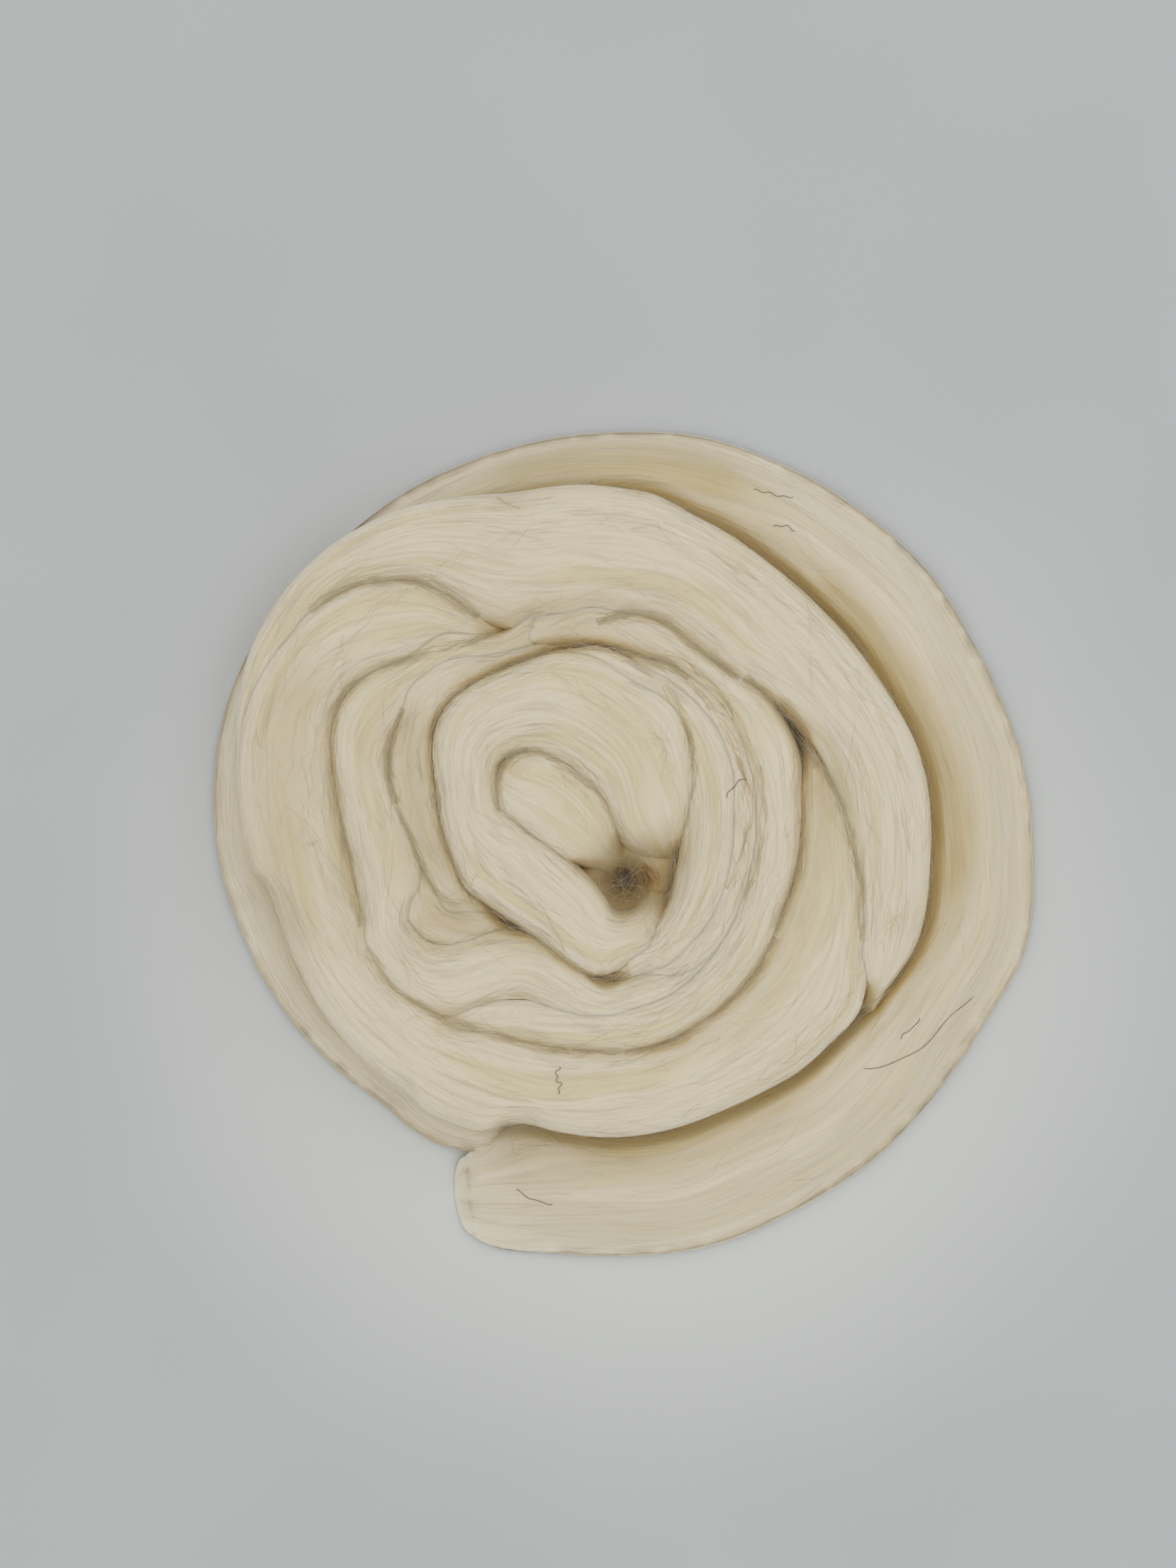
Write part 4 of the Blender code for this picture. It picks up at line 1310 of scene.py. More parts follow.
class Nest:
    """All the turns of the roving, and what is asked of them together."""

    CLOSE = 8.0  # mm that a close neighbour's painted crease shade reaches
    WIDE = 30.0  # mm that painted low shade reaches
    NARROWING = 1.5  # keeps the painted shade to the very crease
    RAYS = 18
    GAIN = 1.5  # a corner is fully sheltered once two thirds of its rays are stopped
    CLEARANCE = 0.25  # mm off the wool from where the rays start
    FIBRE_CLEARANCE = 0.3  # mm
    SHUT = 0.5  # share of the closeness that shows in a crease that is pressed shut
    WARMTH = 0.55  # painted warm shade at the very line of an open crease
    HEM = (2.0, 8.0)  # mm: between these heights the painted shade fades out towards the floor, as the thin hem lets the light through
    CLEAR = 11.0  # mm above the floor, up to where the wool is painted paler, as painted light
    THINNING = 1.6  # how fast that painted light grows towards the floor
    EYE_SHADE = (((-0.8, -9.6), 3.8, 1.0), ((5.0, -8.6), 4.0, 0.75))  # painted shade of the deep open eye: place, reach, how dark
    SHUT_IN = 0.82  # the closest that any other place is

    def __init__(self, strands: Sequence[Strand], bodies: Sequence[Object],
                 settling: Settling) -> None:
        """Gather the turns.

        Args:
            strands: the turns.
            bodies: every closed piece of the wool.
            settling: where creases are open or pressed shut.
        """
        self.settling = settling
        self.strands = {strand.name: strand for strand in strands}
        corners, faces = [], []
        for body in bodies:
            first = len(corners)
            corners += [tuple(vert.co / MM) for vert in body.data.vertices]
            faces += [[first + i for i in face.vertices] for face in body.data.polygons]
        self.tree = BVHTree.FromPolygons(corners, faces)

    def warmth(self, points: np.ndarray) -> np.ndarray:
        """Find the painted warm shade of the wool where it lies in an open crease.

        Args:
            points: places in millimetres, x and y first.

        Returns:
            The warmth at each, from 0 to 1.
        """
        settling = self.settling
        groove = settling.looked_up(settling.groove, points)
        return self.WARMTH * settling.looked_up(settling.held, points) * groove

    def shelter(self, body: Object) -> np.ndarray:
        """Paint shade and light: note on every corner of a body how far it is sheltered by the
        turns, as painted crease, low and eye shade, and how near the floor it is, as painted
        light.

        Args:
            body: a closed piece of the wool.

        Returns:
            Each corner's closeness to its neighbours, from 0 to 1.
        """
        close, wide = self.hidden(body.data)
        places = np.array([vert.co / MM for vert in body.data.vertices]) + FRAME
        held = self.settling.looked_up(self.settling.held, places)
        close = close ** self.NARROWING * (self.SHUT + (1 - self.SHUT) * held)
        close = np.maximum(close, self.warmth(places))
        above = np.clip((places[:, 2] - self.HEM[0]) / (self.HEM[1] - self.HEM[0]), 0.0, 1.0)
        close, wide = close * above, wide * above
        for glow in PAINTED_SHADE_PLACES:
            wide = np.maximum(wide, glow.openness(places))
        close = np.minimum(close, self.SHUT_IN)
        for middle, reach, dark in self.EYE_SHADE:
            off = np.linalg.norm(places[:, :2] - middle, axis=1) / reach
            close = np.maximum(close, dark * np.exp(-off ** 4))
        edge_light = np.clip((self.CLEAR - places[:, 2]) / self.CLEAR, 0.0, 1.0) ** self.THINNING
        for name, found in ((CREASE_SHADE, close), (SHADE, wide), (EDGE_LIGHT, edge_light)):
            keep_values(body.data, name, found)
        return close

    def hidden(self, mesh: Mesh) -> tuple[np.ndarray, np.ndarray]:
        """Send rays out from every corner of a mesh, evenly over the half sphere.

        Args:
            mesh: the mesh of a closed piece of the wool.

        Returns:
            How much the rays meet close by and within a wide reach, from 0 to 1.
        """
        rays = []
        for index in range(self.RAYS):
            lift = math.sqrt((index + 0.5) / self.RAYS)
            spin = index * math.pi * (3 - math.sqrt(5))
            flat = math.sqrt(1 - lift ** 2)
            rays.append(Vector((flat * math.cos(spin), flat * math.sin(spin), lift)))
        close, wide = np.zeros(len(mesh.vertices)), np.zeros(len(mesh.vertices))
        for number, vert in enumerate(mesh.vertices):
            turn = Vector((0.0, 0.0, 1.0)).rotation_difference(vert.normal)
            start = vert.co / MM + vert.normal * self.CLEARANCE
            for ray in rays:
                gap = self.tree.ray_cast(start, turn @ ray, self.WIDE)[3]
                if gap is not None:
                    close[number] += max(0.0, 1 - gap / self.CLOSE)
                    wide[number] += 1 - gap / self.WIDE
        return tuple(np.clip(found * self.GAIN / self.RAYS, 0, 1) for found in (close, wide))

    def height(self, places: np.ndarray) -> np.ndarray:
        """Find the height of the wool above each place in plan.

        Args:
            places: places in millimetres, with x and y as their last axis.

        Returns:
            The heights in millimetres.
        """
        found = []
        for x, y in places.reshape(-1, 2) - FRAME[:2]:
            hit = self.tree.ray_cast(Vector((x, y, SKY)), DOWN)[0]
            found.append(0.0 if hit is None else hit.z)
        return np.array(found).reshape(places.shape[:-1])

    def shows(self, points: np.ndarray, ways: np.ndarray, room: float) -> np.ndarray:
        """Find whether each point has free room in front of it.

        Args:
            points: points in the tables' coordinates.
            ways: the outward direction at each.
            room: how much room there has to be, in millimetres.

        Returns:
            True where it has.
        """
        found = []
        for point, way in zip(points.reshape(-1, 3) - FRAME, ways.reshape(-1, 3)):
            way = Vector(way)
            start = Vector(point) + way * self.FIBRE_CLEARANCE
            found.append(self.tree.ray_cast(start, way, room)[0] is None)
        return np.array(found).reshape(points.shape[:-1])


class Draws:
    """Random values, one for each of many fibres, in a column."""

    def __init__(self, rng: Generator, count: int) -> None:
        """Keep the seeded source and the number of fibres."""
        self.rng = rng
        self.count = count

    def even(self, low: float, high: float) -> np.ndarray:
        """Values spread evenly between two."""
        return self.rng.uniform(low, high, self.count)[:, None]

    def bell(self, spread: float) -> np.ndarray:
        """Values that gather round 0."""
        return self.rng.normal(0, spread, self.count)[:, None]

    def skewed(self, shape: tuple[float, float]) -> np.ndarray:
        """Values from 0 to 1 that gather to one side."""
        return self.rng.beta(*shape, self.count)[:, None]

    def side(self) -> np.ndarray:
        """Values of -1 or 1."""
        return self.rng.choice([-1.0, 1.0], self.count)[:, None]


@dataclass(frozen=True)
class Nap:
    """The fibres that lie along a strand."""

    lie: Lie
    spacing: float  # mm2 of strand for each fibre that is tried
    shortest: float
    longest: float
    thick: float  # mm
    lift: float  # mm that it stands off the strand
    drift: float  # mm that it strays sideways
    sunk: float = 0.03  # mm that its ends lie in the wool
    least: float = 0.4  # share of the lift that the lowest have
    early: float = 0.3  # share of the strand, before it starts, where fibres may begin
    bow: float = 0.4  # how far it bows sideways, in its drift
    room: float = 4.0  # mm of free room that it shows in
    round: tuple[float, float] = (0.12, 0.88)  # which part of the way round it lies on
    points: int = 5

    def laid(self, strand: Strand, nest: Nest, rng: Generator) -> np.ndarray:
        """Lay the fibres on a strand and keep those that show.

        Args:
            strand: the strand.
            nest: all the wool, which hides some of them.
            rng: the seeded source.

        Returns:
            Fibres by points by coordinates in millimetres, and each point's closeness.
        """
        draws = Draws(rng, int(strand.run[-1] * strand.girth / self.spacing))
        step = np.linspace(0, 1, self.points)
        long = draws.even(self.shortest, self.longest)
        start = draws.even(-self.early, 1.0) * strand.run[-1]
        side = draws.even(*self.round)
        aside = draws.bell(self.drift) * step
        bow = draws.bell(self.drift * self.bow) * np.sin(math.pi * step)
        place = start + long * step
        inside = (place[:, 0] >= 0) & (place[:, -1] <= strand.run[-1])
        points, ways, tucked = strand.at(place, side + (aside + bow) / strand.girth)
        lift = self.lift * draws.even(self.least, 1.0)
        if self.lie is Lie.STRAY:
            off = lift * step ** 1.6
        else:
            off = lift * np.sin(math.pi * step) ** 0.7
        looks = nest.shows(points[inside][:, 1::2], ways[inside][:, 1::2], self.room)
        lying = points + ways * (off - self.sunk)[..., None]
        fibres = np.concatenate([lying, tucked[..., None]], axis=-1)
        return fibres[inside][looks.mean(axis=1) > 0.5]


@dataclass(frozen=True)
class Fringe:
    """Fine fibres that stand out sideways from the nest's outer edge and soften it."""

    count: int
    shortest: float
    longest: float
    reach: float  # mm that the farthest stand out
    thick: float
    flank: tuple[float, float] = (0.57, 0.80)  # which part of the way round they grow from
    few_far: tuple[float, float] = (1.1, 2.6)  # most stand out little
    stray: float = 0.015  # share of the way round that their tips stray
    wave: float = 0.2  # mm
    droop: float = 0.3  # share of their rise that is kept
    points: int = 5

    def laid(self, strand: Strand, start: float, end: float, rng: Generator) -> np.ndarray:
        """Lay the fibres along the outer flank of a strand that is wound to the left.

        Args:
            strand: the strand.
            start: where the stretch starts, in millimetres along it.
            end: where it ends.
            rng: the seeded source.

        Returns:
            Fibres by points by coordinates, in millimetres.
        """
        step, draws = np.linspace(0, 1, self.points), Draws(rng, self.count)
        long = draws.even(self.shortest, self.longest)
        facing = draws.side()
        place = draws.even(start, end) + facing * long * step
        side = draws.even(*self.flank)
        side = side + draws.bell(self.stray) * step
        points, ways, _ = strand.at(np.clip(place, 0, strand.run[-1]), side)
        out = self.reach * draws.skewed(self.few_far) * step ** 1.2
        wave = draws.bell(self.wave) * np.sin(5 * step)
        ways = unit(ways * [1.0, 1.0, self.droop])
        return points + ways * (0.1 + out + np.abs(wave))[..., None]


class Edge(NamedTuple):
    """A stretch of the nest's outer edge and the fringe that it gets."""

    name: str
    turn: str
    start: float
    end: float
    fringe: Fringe


@dataclass(frozen=True)
class TornEnd:
    """The feathered fibres that the torn tail ends in."""

    count: int = 20
    shortest: float = 14.0
    longest: float = 30.0
    beyond: float = 7.0  # mm that the longest reach past the tail
    thick: float = 0.08
    lowest: float = 0.2  # mm above the floor
    few_far: tuple[float, float] = (1.3, 2.2)  # most reach past it little
    many_high: tuple[float, float] = (2.2, 1.0)  # most lie near the top
    edge: float = 0.97  # how near the tail's sides they lie
    fan: float = 0.10  # how far they fan out, in the tail's width
    bow: float = 0.8  # mm
    points: int = 6

    def laid(self, strand: Strand, rng: Generator) -> np.ndarray:
        """Lay the fibres over the strand's first end.

        Args:
            strand: the outermost strand.
            rng: the seeded source.

        Returns:
            Fibres by points by coordinates, in millimetres.
        """
        step, draws = np.linspace(0, 1, self.points), Draws(rng, self.count)
        long = draws.even(self.shortest, self.longest)
        tip = -self.beyond * draws.skewed(self.few_far)
        run = tip + long * (1 - step)
        place = np.maximum(run, 0)
        half = np.interp(place, strand.run, strand.rows[:, WIDTH]) / 2
        aside = draws.even(-1, 1)
        spread = 1 + self.fan * step + draws.bell(self.fan / 2) * step
        bow = draws.bell(self.bow) * np.sin(math.pi * step)
        plan = strand.above(place, half * self.edge * aside * spread + bow)
        back = unit(strand.rows[0, :2] - strand.rows[3, :2])
        plan = plan + back * np.maximum(-run, 0)[..., None]
        top = np.interp(place, strand.run, strand.rows[:, TOP])
        dome = np.sqrt(np.clip(1 - np.abs(aside) ** 3, 0, 1))
        share = draws.skewed(self.many_high)
        sunk = np.clip(1 + np.minimum(run, 0) / (self.beyond * 1.3), 0.15, 1)
        height = self.lowest + (top * dome * share + 0.15) * sunk
        return np.concatenate([plan, height[..., None]], axis=-1)


def drawn_taut(plan: np.ndarray, nest: Nest, lift: float) -> np.ndarray:
    """Lay fibres over the wool, taut where it falls away under them.

    Args:
        plan: fibres by points by x and y, in millimetres.
        nest: all the wool.
        lift: how far they lie off it.

    Returns:
        The fibres that lie on the wool, by points by coordinates and closeness, the painted warm
        shade of the creases that they cross.
    """
    lowest, steepest, rounds, warm_share = 3.0, 9.0, 12, 0.25
    floor = nest.height(plan) + lift
    kept = (floor.min(axis=1) > lowest) & (np.ptp(floor, axis=1) < steepest)
    plan, floor = plan[kept], floor[kept]
    line = floor.copy()
    for _ in range(rounds):
        line[:, 1:-1] = np.maximum(floor[:, 1:-1], (line[:, :-2] + line[:, 2:]) / 2)
    # painted warm shade where the fibres cross an open crease
    warm = warm_share * nest.warmth(plan)
    return np.concatenate([plan, line[..., None], warm[..., None]], axis=-1)


@dataclass(frozen=True)
class Bridges:
    """Fibres drawn taut from one turn to the next, over the crease between them."""

    count: int
    shortest: float
    longest: float
    slant: float  # mm to the side over a fibre's length
    thick: float
    spread: float = 1.2  # mm to each side of the turn's edge
    bow: float = 0.5  # mm
    lift: float = 0.08  # mm
    points: int = 7

    def laid(self, nest: Nest, rng: Generator) -> np.ndarray:
        """Lay the fibres near the edges of the turns, on the wool seen from above.

        Args:
            nest: all the wool.
            rng: the seeded source.

        Returns:
            Fibres by points by coordinates in millimetres.
        """
        step = np.linspace(0, 1, self.points)
        strands = list(nest.strands.values())
        share = np.array([strand.run[-1] for strand in strands])
        found = []
        for strand, part in zip(strands, share / share.sum()):
            draws = Draws(rng, int(self.count * part))
            long = draws.even(self.shortest, self.longest)
            place = draws.even(0, strand.run[-1]) + long * (step - 0.5)
            half = np.interp(place, strand.run, strand.rows[:, WIDTH]) / 2
            edge = draws.side()
            off = edge * half + draws.bell(self.spread)
            off = off + draws.bell(self.slant) * (step - 0.5)
            off = off + draws.bell(self.bow) * np.sin(math.pi * step)
            found.append(drawn_taut(strand.above(place, off), nest, self.lift))
        return np.concatenate(found)


@dataclass(frozen=True)
class CreaseFibres:
    """Fibres caught in the creases, wavy and close, whose painted golden shade makes them warm,
    soft lines.
    """

    per_mm: float = 3.0  # in the most open crease
    shut: float = 1.5  # how fast they get fewer in creases that are less open
    shortest: float = 4.0
    longest: float = 13.0
    spread: float = 0.55  # mm to each side of the crease's line
    slant: float = 1.1  # mm to the side over a fibre's length
    wave: float = 0.16  # mm
    lift: float = 0.1  # mm
    thick: float = 0.09
    points: int = 7

    def laid(self, nest: Nest, rng: Generator) -> np.ndarray:
        """Lay the fibres along the creases.

        Args:
            nest: all the wool.
            rng: the seeded source.

        Returns:
            Fibres by points by coordinates in millimetres.
        """
        step = np.linspace(0, 1, self.points)
        found = []
        for crease in OPEN_CREASES:
            line = np.array(crease.line, float)
            gone = run_of(line)
            marks = np.arange(0.0, gone[-1], 1.0)
            middle = smoothed(on_line(marks, gone, line), 3.0)
            aside = leftward(unit(np.gradient(middle, axis=0)))
            draws = Draws(rng, int(self.per_mm * gone[-1] * crease.share ** self.shut))
            long = draws.even(self.shortest, self.longest)
            place = draws.even(0, marks[-1]) + long * (step - 0.5)
            off = draws.bell(self.spread * (0.6 + crease.width / 6))
            off = off + draws.bell(self.slant) * (step - 0.5)
            off = off + rng.normal(0, self.wave, (draws.count, self.points))
            plan = on_line(place, marks, middle) + on_line(place, marks, aside) * off[..., None]
            found.append(drawn_taut(plan, nest, self.lift))
        return np.concatenate(found)


def fibre_piece(name: str, paths: np.ndarray, thick: float, rng: Generator) -> Object:
    """Make many fibres of one length of points as one piece of closed three-sided tubes.

    Args:
        name: the piece's name.
        paths: fibres by points by coordinates in millimetres, perhaps with closeness.
        thick: the fibres' width in millimetres.
        rng: the seeded source of each fibre's own shade.

    Returns:
        The piece.
    """
    count, long = paths.shape[:2]
    tucked = paths[..., 3] if paths.shape[2] > 3 else np.zeros((count, long))
    paths = paths[..., :3]
    nearly_up, tip = [0.02, 0.03, 1.0], 0.35
    way = unit(np.gradient(paths, axis=1))
    aside = unit(np.cross(way, nearly_up))
    lift = np.cross(aside, way)
    taper = np.ones(long)
    taper[[0, -1]] = tip
    rings = []
    for angle in np.radians([90, 210, 330]):
        turned = aside * math.cos(angle) + lift * math.sin(angle)
        rings.append(paths + turned * (thick / 2 * taper)[:, None])
    points = np.stack(rings, axis=2).reshape(-1, 3)
    points[:, 2] = np.maximum(points[:, 2], 0.0)
    fibre, ring, side = np.meshgrid(
        np.arange(count), np.arange(long - 1), np.arange(3), indexing="ij")
    here = (fibre * long + ring) * 3 + side
    turn = (fibre * long + ring) * 3 + (side + 1) % 3
    quads = np.stack([here, here + 3, turn + 3, turn], axis=-1).reshape(-1, 4)
    first = np.arange(count)[:, None] * long * 3
    last = first + (long - 1) * 3
    caps = np.concatenate([first + [0, 1, 2], last + [2, 1, 0]])
    piece = make_mesh(name, points, quads.tolist() + caps.tolist())
    keep_values(piece.data, TONE, np.repeat(rng.uniform(0, 1, count), long * 3))
    # painted crease shade of each point, which the fibres' finish reads
    keep_values(piece.data, CREASE_SHADE, np.repeat(tucked.ravel(), 3))
    return piece


class Bed:
    """The wool wound underneath, which carries the turns that show."""

    RINGS = 70
    SIDES = 150
    MIDDLE = (-8.0, 9.0)
    REACH = (88.0, 84.0)  # mm from its middle to its rim, across and along
    TOP = 23.0  # mm
    CROWN = (3.2, 0.6)  # how late it starts to fall, and how steeply it ends
    LUMP = 0.8  # mm
    LUMPS = (12, 9)  # outwards and round
    EYE_DEPTH = 20.0  # mm
    EYE_REACH = 5.0  # mm
    GRAIN = 60.0  # mm of its map for each radian round the eye

    def __init__(self, seed: int) -> None:
        """Keep the seed of the bed's own locks."""
        self.rng = np.random.default_rng(seed)

    def piece(self) -> Object:
        """Make the bed one closed low mound, flat beneath and drawn in at the eye.

        Returns:
            The piece.
        """
        share = np.linspace(0, 1, self.RINGS)[:, None]
        angle = 2 * math.pi * np.arange(self.SIDES) / self.SIDES
        out = np.stack([np.cos(angle), np.sin(angle)], axis=-1) * self.REACH
        flat = np.array(self.MIDDLE) + out * share[..., None]
        late, steep = self.CROWN
        outwards, round_it = self.LUMPS
        height = self.TOP * (1 - share ** late) ** steep + 0 * angle
        height += self.LUMP * lumps(
            self.rng, share * outwards, angle / (2 * math.pi) * round_it, round_it)
        eye = np.linalg.norm(flat - EYE, axis=-1) / self.EYE_REACH
        height -= self.EYE_DEPTH * np.exp(-eye ** 2)
        top = np.concatenate([flat, np.maximum(height, 0.0)[..., None]], axis=-1)[1:]
        points = np.vstack([
            top.reshape(-1, 3),
            [[*self.MIDDLE, float(height[0].mean())], [*self.MIDDLE, 0.0]],
        ])
        rings, sides = self.RINGS - 1, self.SIDES
        quads = ring_faces(rings, sides)[:, [0, 3, 2, 1]]
        hub, foot, rim = len(points) - 2, len(points) - 1, (rings - 1) * sides
        caps = []
        for column in range(sides):
            after = (column + 1) % sides
            caps += [(hub, column, after), (foot, rim + after, rim + column)]
        piece = make_mesh("bed", points, quads.tolist() + caps)
        corners = np.zeros(len(piece.data.loops), int)
        piece.data.loops.foreach_get("vertex_index", corners)
        span = points[corners][:, :2] - EYE
        turned = np.arctan2(span[:, 1], span[:, 0])
        from_eye = np.linalg.norm(span, axis=1)
        keep_grain(piece.data, np.stack([turned * self.GRAIN, from_eye], axis=-1).ravel())
        return piece


class EyeWeb:
    """The loose fibres that cross the open eye."""

    COUNT = 26
    POINTS = 12
    MIDDLE = (-2.5, -10.3)  # a little to the left of the eye's own middle
    REACH = (4.5, 9.0)  # mm from a fibre's middle to its ends
    ASIDE = 3.0  # mm that it passes beside the eye's middle
    BOW = 2.6  # mm
    CURL = 0.6  # mm
    DEEP = (21.0, 30.5)  # mm above the floor
    RIM = 5.0  # mm from the middle, from where they rise with the wool
    RISE = 0.9
    DIM = (34.0, 14.0)  # mm: below the first they get painted shade, over the second
    DARKEST = 0.8

    def laid(self, rng: Generator) -> np.ndarray:
        """Lay curling fibres in and over the eye.

        Args:
            rng: the seeded source.

        Returns:
            Fibres by points by coordinates in millimetres, and each point's closeness.
        """
        step, draws = np.linspace(-1, 1, self.POINTS), Draws(rng, self.COUNT)
        reach = draws.even(*self.REACH)
        spin = draws.even(0, math.pi)
        bow = draws.bell(self.BOW)
        aside = draws.bell(self.ASIDE) + bow * (1 - step ** 2)
        curl = draws.bell(self.CURL)
        aside = aside + curl * np.sin(5 * step + spin)
        x = np.cos(spin) * reach * step - np.sin(spin) * aside
        y = np.sin(spin) * reach * step + np.cos(spin) * aside
        deep = draws.even(*self.DEEP)
        rim = np.maximum(0, np.hypot(x, y) - self.RIM)
        z = deep + self.RISE * rim
        z = z + draws.bell(0.5) * np.cos(3 * step)
        start, over = self.DIM
        dim = np.clip((start - z) / over, 0.0, self.DARKEST)
        return np.stack([x + self.MIDDLE[0], y + self.MIDDLE[1], z, dim], axis=-1)


@dataclass(frozen=True)
class Hair:
    """A coarse kemp hair caught on the wool: its line seen from above and its crimp."""

    line: Line
    crimp: float  # mm
    waves: float
    lift: float = 0.18  # mm that its middle lies off the wool
    wave: float = 6.28  # radians
    points: int = 26

    def laid(self, nest: Nest) -> np.ndarray:
        """Lay the hair on the wool.

        Args:
            nest: all the wool.

        Returns:
            Its points in millimetres.
        """
        line = np.array(self.line, float)
        run = run_of(line)
        place = np.linspace(0, run[-1], self.points)
        plan = smoothed(on_line(place, run, line), self.points / 12)
        side = leftward(unit(np.gradient(plan, axis=0)))
        wave = self.crimp * np.sin(place / run[-1] * self.waves * self.wave)
        plan = plan + side * wave[:, None]
        return np.column_stack([plan, smoothed(nest.height(plan), 1.5) + self.lift])


# Coarse hairs that lie across the turns.
DARK_HAIRS = [
    Hair(((-19.2, -59.7), (-20.4, -63), (-18.6, -65), (-19.9, -67.6)), 0.5, 3.5),
    Hair(((97, -41.8), (90, -46.4), (85, -52.8), (79, -58), (72, -61.2), (63, -62)), 0.3, 2.5),
    Hair(((74.9, -54.1), (75.4, -52.2), (78.6, -50.6), (80.2, -47.7)), 0.2, 2.0),
    Hair(((25.6, 12.6), (26.4, 14.4), (28.6, 17.4), (31.4, 17.8)), 0.3, 1.5),
    Hair(((-31.9, -96.1), (-28.8, -98.2), (-24.7, -99.7), (-20.9, -100.2)), 0.2, 2.0),
    Hair(((33.9, 98.2), (38, 97.6), (42.7, 96.2), (46, 96.6)), 0.3, 3.0),
    Hair(((39.4, 87.6), (42.7, 88.2), (46, 86.4)), 0.3, 2.0),
]

PALE_HAIRS = [
    Hair(((-39.9, 96.8), (-33.7, 92.7), (-29.5, 91.3)), 0.2, 1.0),
    Hair(((-22.5, -81.1), (-20, -82.6), (-17.4, -84.7)), 0.1, 1.0),
    Hair(((-34, -81), (-32.4, -84), (-32, -87)), 0.2, 1.0),
    Hair(((-26, -14), (-22, -19), (-19.5, -24), (-18, -29)), 0.3, 1.5),
    Hair(((-45, 6), (-38, -2), (-30, -8.5), (-22, -16)), 0.2, 1.0),
]


class SoftLight(NamedTuple):
    """A square soft light that faces the wool. Its place and size are in metres."""

    name: str
    place: tuple[float, float, float]
    size: float
    watts: float
    colour: str


@dataclass(frozen=True)
class Studio:
    """The plain floor, the soft light and the camera straight above. Sizes in metres."""

    LIGHTS: ClassVar[tuple[SoftLight, ...]] = (
        SoftLight("window_light", (0.7, 0.5, 1.3), 1.4, 1.8, "#fefdfb"),
        SoftLight("ceiling_light", (0.0, 0.0, 1.6), 1.5, 4.0, "#f8faff"),
    )

    floor: MattBoard
    floor_size: float = 6.0
    floor_drop: float = 0.0002  # keeps it clear of the wool's flat underside
    room: str = "#f8f5ee"
    room_strength: float = 0.605
    height: float = 0.7
    over: tuple[float, float] = (-0.0099, 0.0163)
    view_tall: float = 0.4424  # of floor, from the top to the bottom of the view
    sensor: float = 36.0  # mm

    def build(self) -> None:
        """Set up floor, lights, camera and colour."""
        bpy.ops.mesh.primitive_plane_add(
            size=self.floor_size, location=(0.0, 0.0, -self.floor_drop))
        floor = bpy.context.active_object
        floor.name = "floor"
        floor.data.transform(floor.matrix_world)
        floor.matrix_world.identity()
        floor.data.materials.append(self.floor.material())
        for light in self.LIGHTS:
            self.hang(light)
        self.light_room()
        self.set_camera()

    def hang(self, light: SoftLight) -> None:
        """Add a soft light.

        Args:
            light: its place, size and strength.
        """
        data = bpy.data.lights.new(light.name, "AREA")
        data.size = light.size
        data.energy = light.watts
        data.color = linear(light.colour)[:3]
        lamp = bpy.data.objects.new(light.name, data)
        lamp.location = light.place
        lamp.rotation_euler = (-Vector(light.place)).to_track_quat("-Z", "Y").to_euler()
        bpy.context.scene.collection.objects.link(lamp)

    def light_room(self) -> None:
        """Give the room its even light, and show colours as they are."""
        world = bpy.data.worlds.new("studio")
        world.use_nodes = True
        set_sockets(world.node_tree.nodes["Background"],
                    {"Color": linear(self.room), "Strength": self.room_strength})
        bpy.context.scene.world = world
        bpy.context.scene.view_settings.view_transform = "Standard"

    def set_camera(self) -> None:
        """Add the camera, looking straight down."""
        data = bpy.data.cameras.new("camera")
        data.sensor_width = self.sensor
        data.lens = self.sensor * self.height / self.view_tall
        data.clip_start = 0.01
        camera = bpy.data.objects.new("camera", data)
        camera.location = (*self.over, self.height)
        bpy.context.scene.collection.objects.link(camera)
        bpy.context.scene.camera = camera


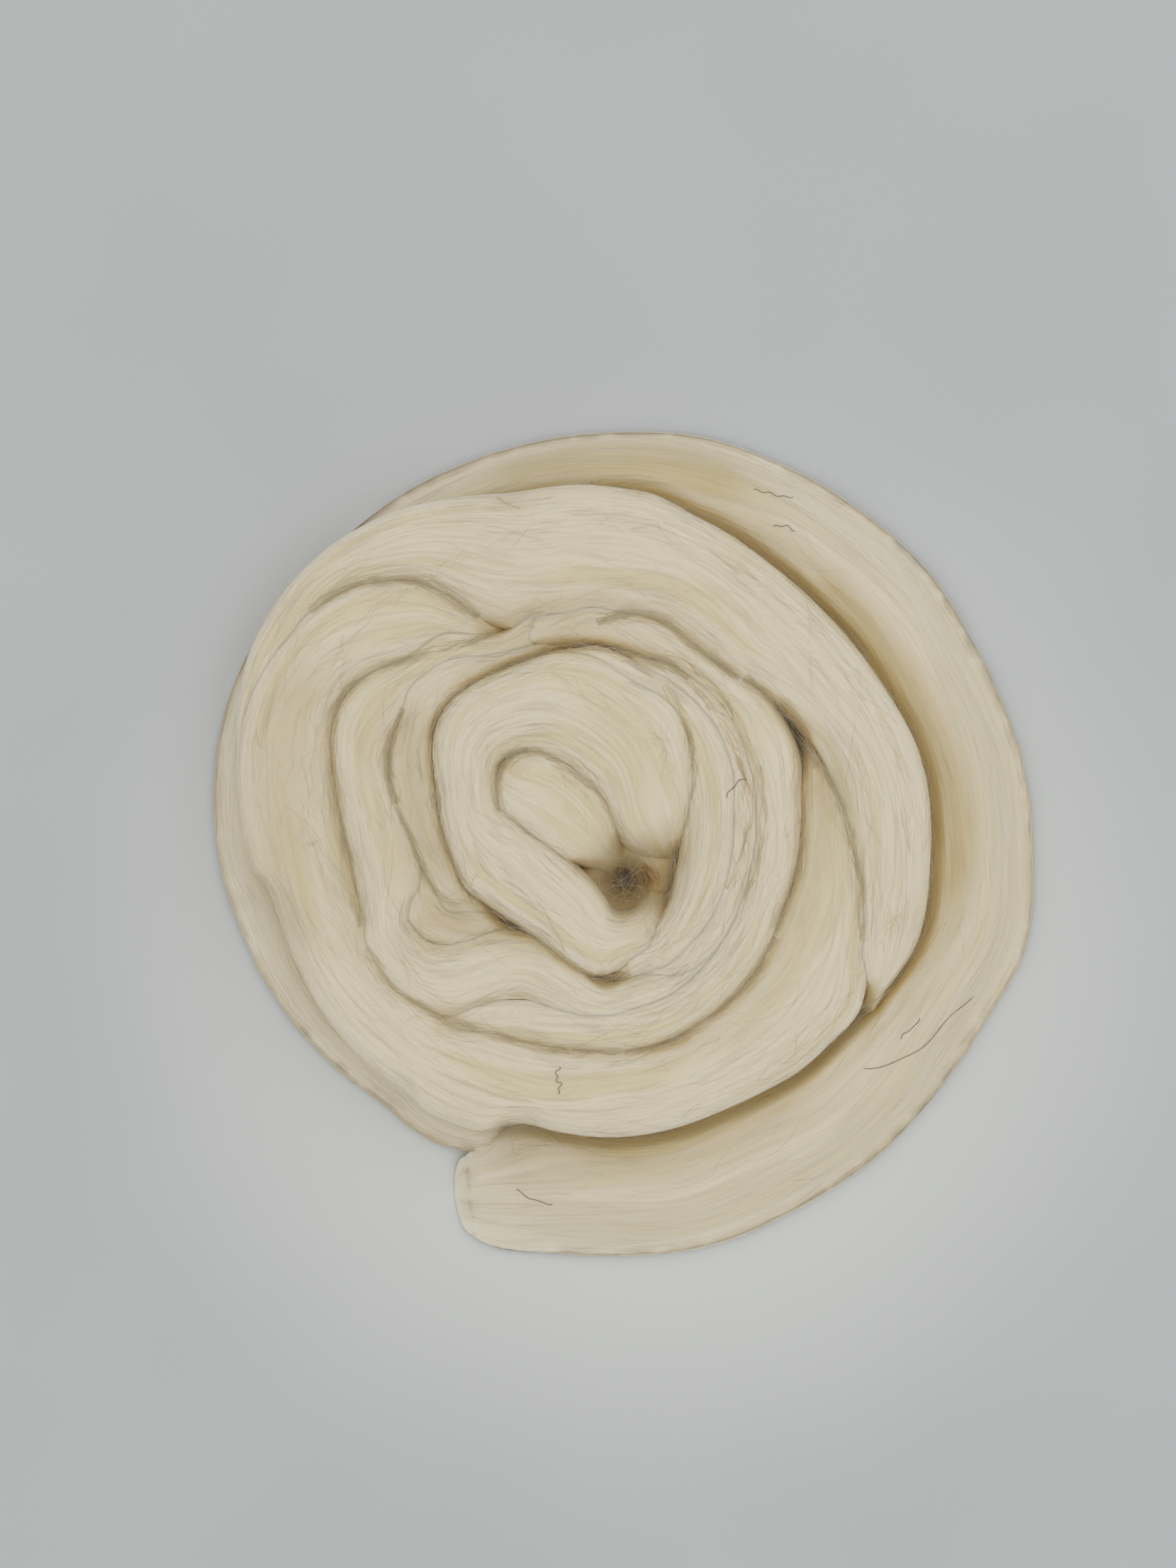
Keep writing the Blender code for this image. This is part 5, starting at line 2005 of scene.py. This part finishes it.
class Roving:
    """The whole roving: its turns, their bed and their fibres."""

    FIRST_SEED = 38
    FIBRE_SEED = 7
    # Wool fibres are 0.02 mm thick and lie in their thousands. Here they are as coarse and
    # as many as it takes to show.
    NAPS = (
        Nap(Lie.COMBED, spacing=12.0, shortest=12, longest=30, thick=0.06, lift=0.04, drift=1.5),
        Nap(Lie.LIFTED, spacing=45.0, shortest=10, longest=26, thick=0.05, lift=0.25, drift=2.2),
        Nap(Lie.STRAY, spacing=60.0, shortest=6, longest=15, thick=0.05, lift=0.8, drift=1.4),
    )
    BRIDGES = Bridges(count=1600, shortest=6, longest=18, slant=4.0, thick=0.06)
    CREASE_FIBRES = CreaseFibres()
    TORN_END = TornEnd()
    EDGES = (
        Edge("edge_fibres", OUTER_NAME, 8.0, 520.0, Fringe(160, 10, 26, 2.8, 0.06)),
        Edge("left_edge_fibres", OUTER_NAME, 520.0, 800.0, Fringe(200, 12, 30, 4.5, 0.06)),
        Edge("upper_edge_fibres", "lower_turn", 230.0, 400.0, Fringe(120, 12, 26, 4.0, 0.06)),
    )
    EYE_FIBRE = 0.06  # mm
    KEMP = 0.16  # mm

    def __init__(self) -> None:
        """Choose the finishes."""
        self.fleece = Fleece("combed_wool").material()
        # the outer turn's deeper cream is partly its own tone and partly painted shade for lying
        # low, and its painted low shade is paler
        self.outer_fleece = Fleece("combed_wool_outer", pale="#e5decb", low="#e8dbbb",
                                   glow=0.0).material()
        self.shaded_fleece = Fleece("combed_wool_underneath", glow=0.0).material()
        self.fibre = Fibre("wool_fibres").material()
        # the crease fibres' deeper golden finish is painted shade in the creases
        self.caught_fibre = Fibre("golden_wool_fibres", pale="#f8efd6", deep="#ead8ae",
                                  brown="#c9ae7e").material()
        self.kemp = Fibre("dark_kemp", pale="#6d5a3f", deep="#5a4931", brown="#4a3c2a").material()
        self.rng = np.random.default_rng(self.FIBRE_SEED)
        self.loose: list[Object] = []
        self.triangles = 0

    def dress(self, piece: Object, material: Material) -> None:
        """Give a piece its finish and its place on the part.

        Args:
            piece: the piece.
            material: its finish.
        """
        piece.data.materials.append(material)
        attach(piece, BODY)
        LOG.info("%s: %d faces", piece.name, len(piece.data.polygons))
        self.triangles += sum(len(face.vertices) - 2 for face in piece.data.polygons)

    def add_fibres(self, name: str, paths: np.ndarray, thick: float, turn: str = "",
                   material: Material | None = None) -> None:
        """Make and dress a piece of fibres.

        Args:
            name: the piece's name.
            paths: fibres by points by coordinates in millimetres, perhaps with closeness.
            thick: the fibres' width in millimetres.
            turn: the turn that they lie on, if it is only one.
            material: their finish, if it isn't that of most fibres.
        """
        piece = fibre_piece(name, paths, thick, self.rng)
        loose = turn == OUTER_NAME
        self.dress(piece, material or self.fibre)
        if loose:
            self.loose.append(piece)

    def build(self) -> None:
        """Build and dress every piece."""
        outer = Strand(OUTER_NAME, OUTER_TURN, self.FIRST_SEED + 1, torn=True)
        strands = [Strand(name, turn, seed)
                   for seed, (name, turn) in enumerate(TURNS.items(), self.FIRST_SEED + 2)]
        Drawing([outer, *strands])
        settling = Settling([outer, *strands])
        for strand in [outer, *strands]:
            settling.settle(strand)
        bodies = [strand.piece() for strand in strands]
        outer_body = outer.piece()
        bed_body = Bed(self.FIRST_SEED).piece()
        nest = Nest([outer, *strands], [*bodies, bed_body, outer_body], settling)
        nest.shelter(bed_body)
        for strand, body in zip([outer, *strands], [outer_body, *bodies]):
            strand.take_shelter(nest.shelter(body))
        self.dress(bed_body, self.shaded_fleece)
        for body in bodies:
            self.dress(body, self.fleece)
        self.dress(outer_body, self.outer_fleece)
        for body in [bed_body, *bodies]:
            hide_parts("coil")
        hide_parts("loose_end")
        self.lay_naps(nest, outer)
        self.lay_loose_fibres(nest)
        LOG.info("%d triangles", self.triangles)

    def lay_naps(self, nest: Nest, outer: Strand) -> None:
        """Lay the naps and fringes of the turns and the fibres of the torn end.

        Args:
            nest: all the wool.
            outer: the outermost turn.
        """
        for strand in nest.strands.values():
            for nap in self.NAPS:
                self.add_fibres(f"{strand.name}_{nap.lie.value}",
                                nap.laid(strand, nest, self.rng), nap.thick, strand.name)
        for name, turn, start, end, fringe in self.EDGES:
            paths = fringe.laid(nest.strands[turn], start, end, self.rng)
            self.add_fibres(name, paths, fringe.thick, turn)
        self.add_fibres("torn_fibres", self.TORN_END.laid(outer, self.rng),
                        self.TORN_END.thick, outer.name)

    def lay_loose_fibres(self, nest: Nest) -> None:
        """Lay the fibres that cross from turn to turn, and the coarse hairs.

        Args:
            nest: all the wool.
        """
        self.add_fibres("bridging_fibres", self.BRIDGES.laid(nest, self.rng),
                        self.BRIDGES.thick)
        self.add_fibres("crease_fibres", self.CREASE_FIBRES.laid(nest, self.rng),
                        self.CREASE_FIBRES.thick, material=self.caught_fibre)
        self.add_fibres("eye_fibres", EyeWeb().laid(self.rng), self.EYE_FIBRE)
        for name, hairs, material in (("dark_hairs", DARK_HAIRS, self.kemp),
                                      ("pale_hairs", PALE_HAIRS, self.fibre)):
            paths = np.stack([hair.laid(nest) for hair in hairs])
            self.add_fibres(name, paths, self.KEMP, material=material)


def corners(box: Iterable[Vector]) -> list[list[float]]:
    """A box's two corners as plain lists."""
    return [[float(value) for value in corner] for corner in box]


def main() -> None:
    """Build the scene."""
    logging.basicConfig(level=logging.INFO, format="%(message)s")
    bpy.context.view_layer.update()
    Roving().build()
    Studio(MattBoard("matt_board")).build()


if __name__ == "__main__":
    main()
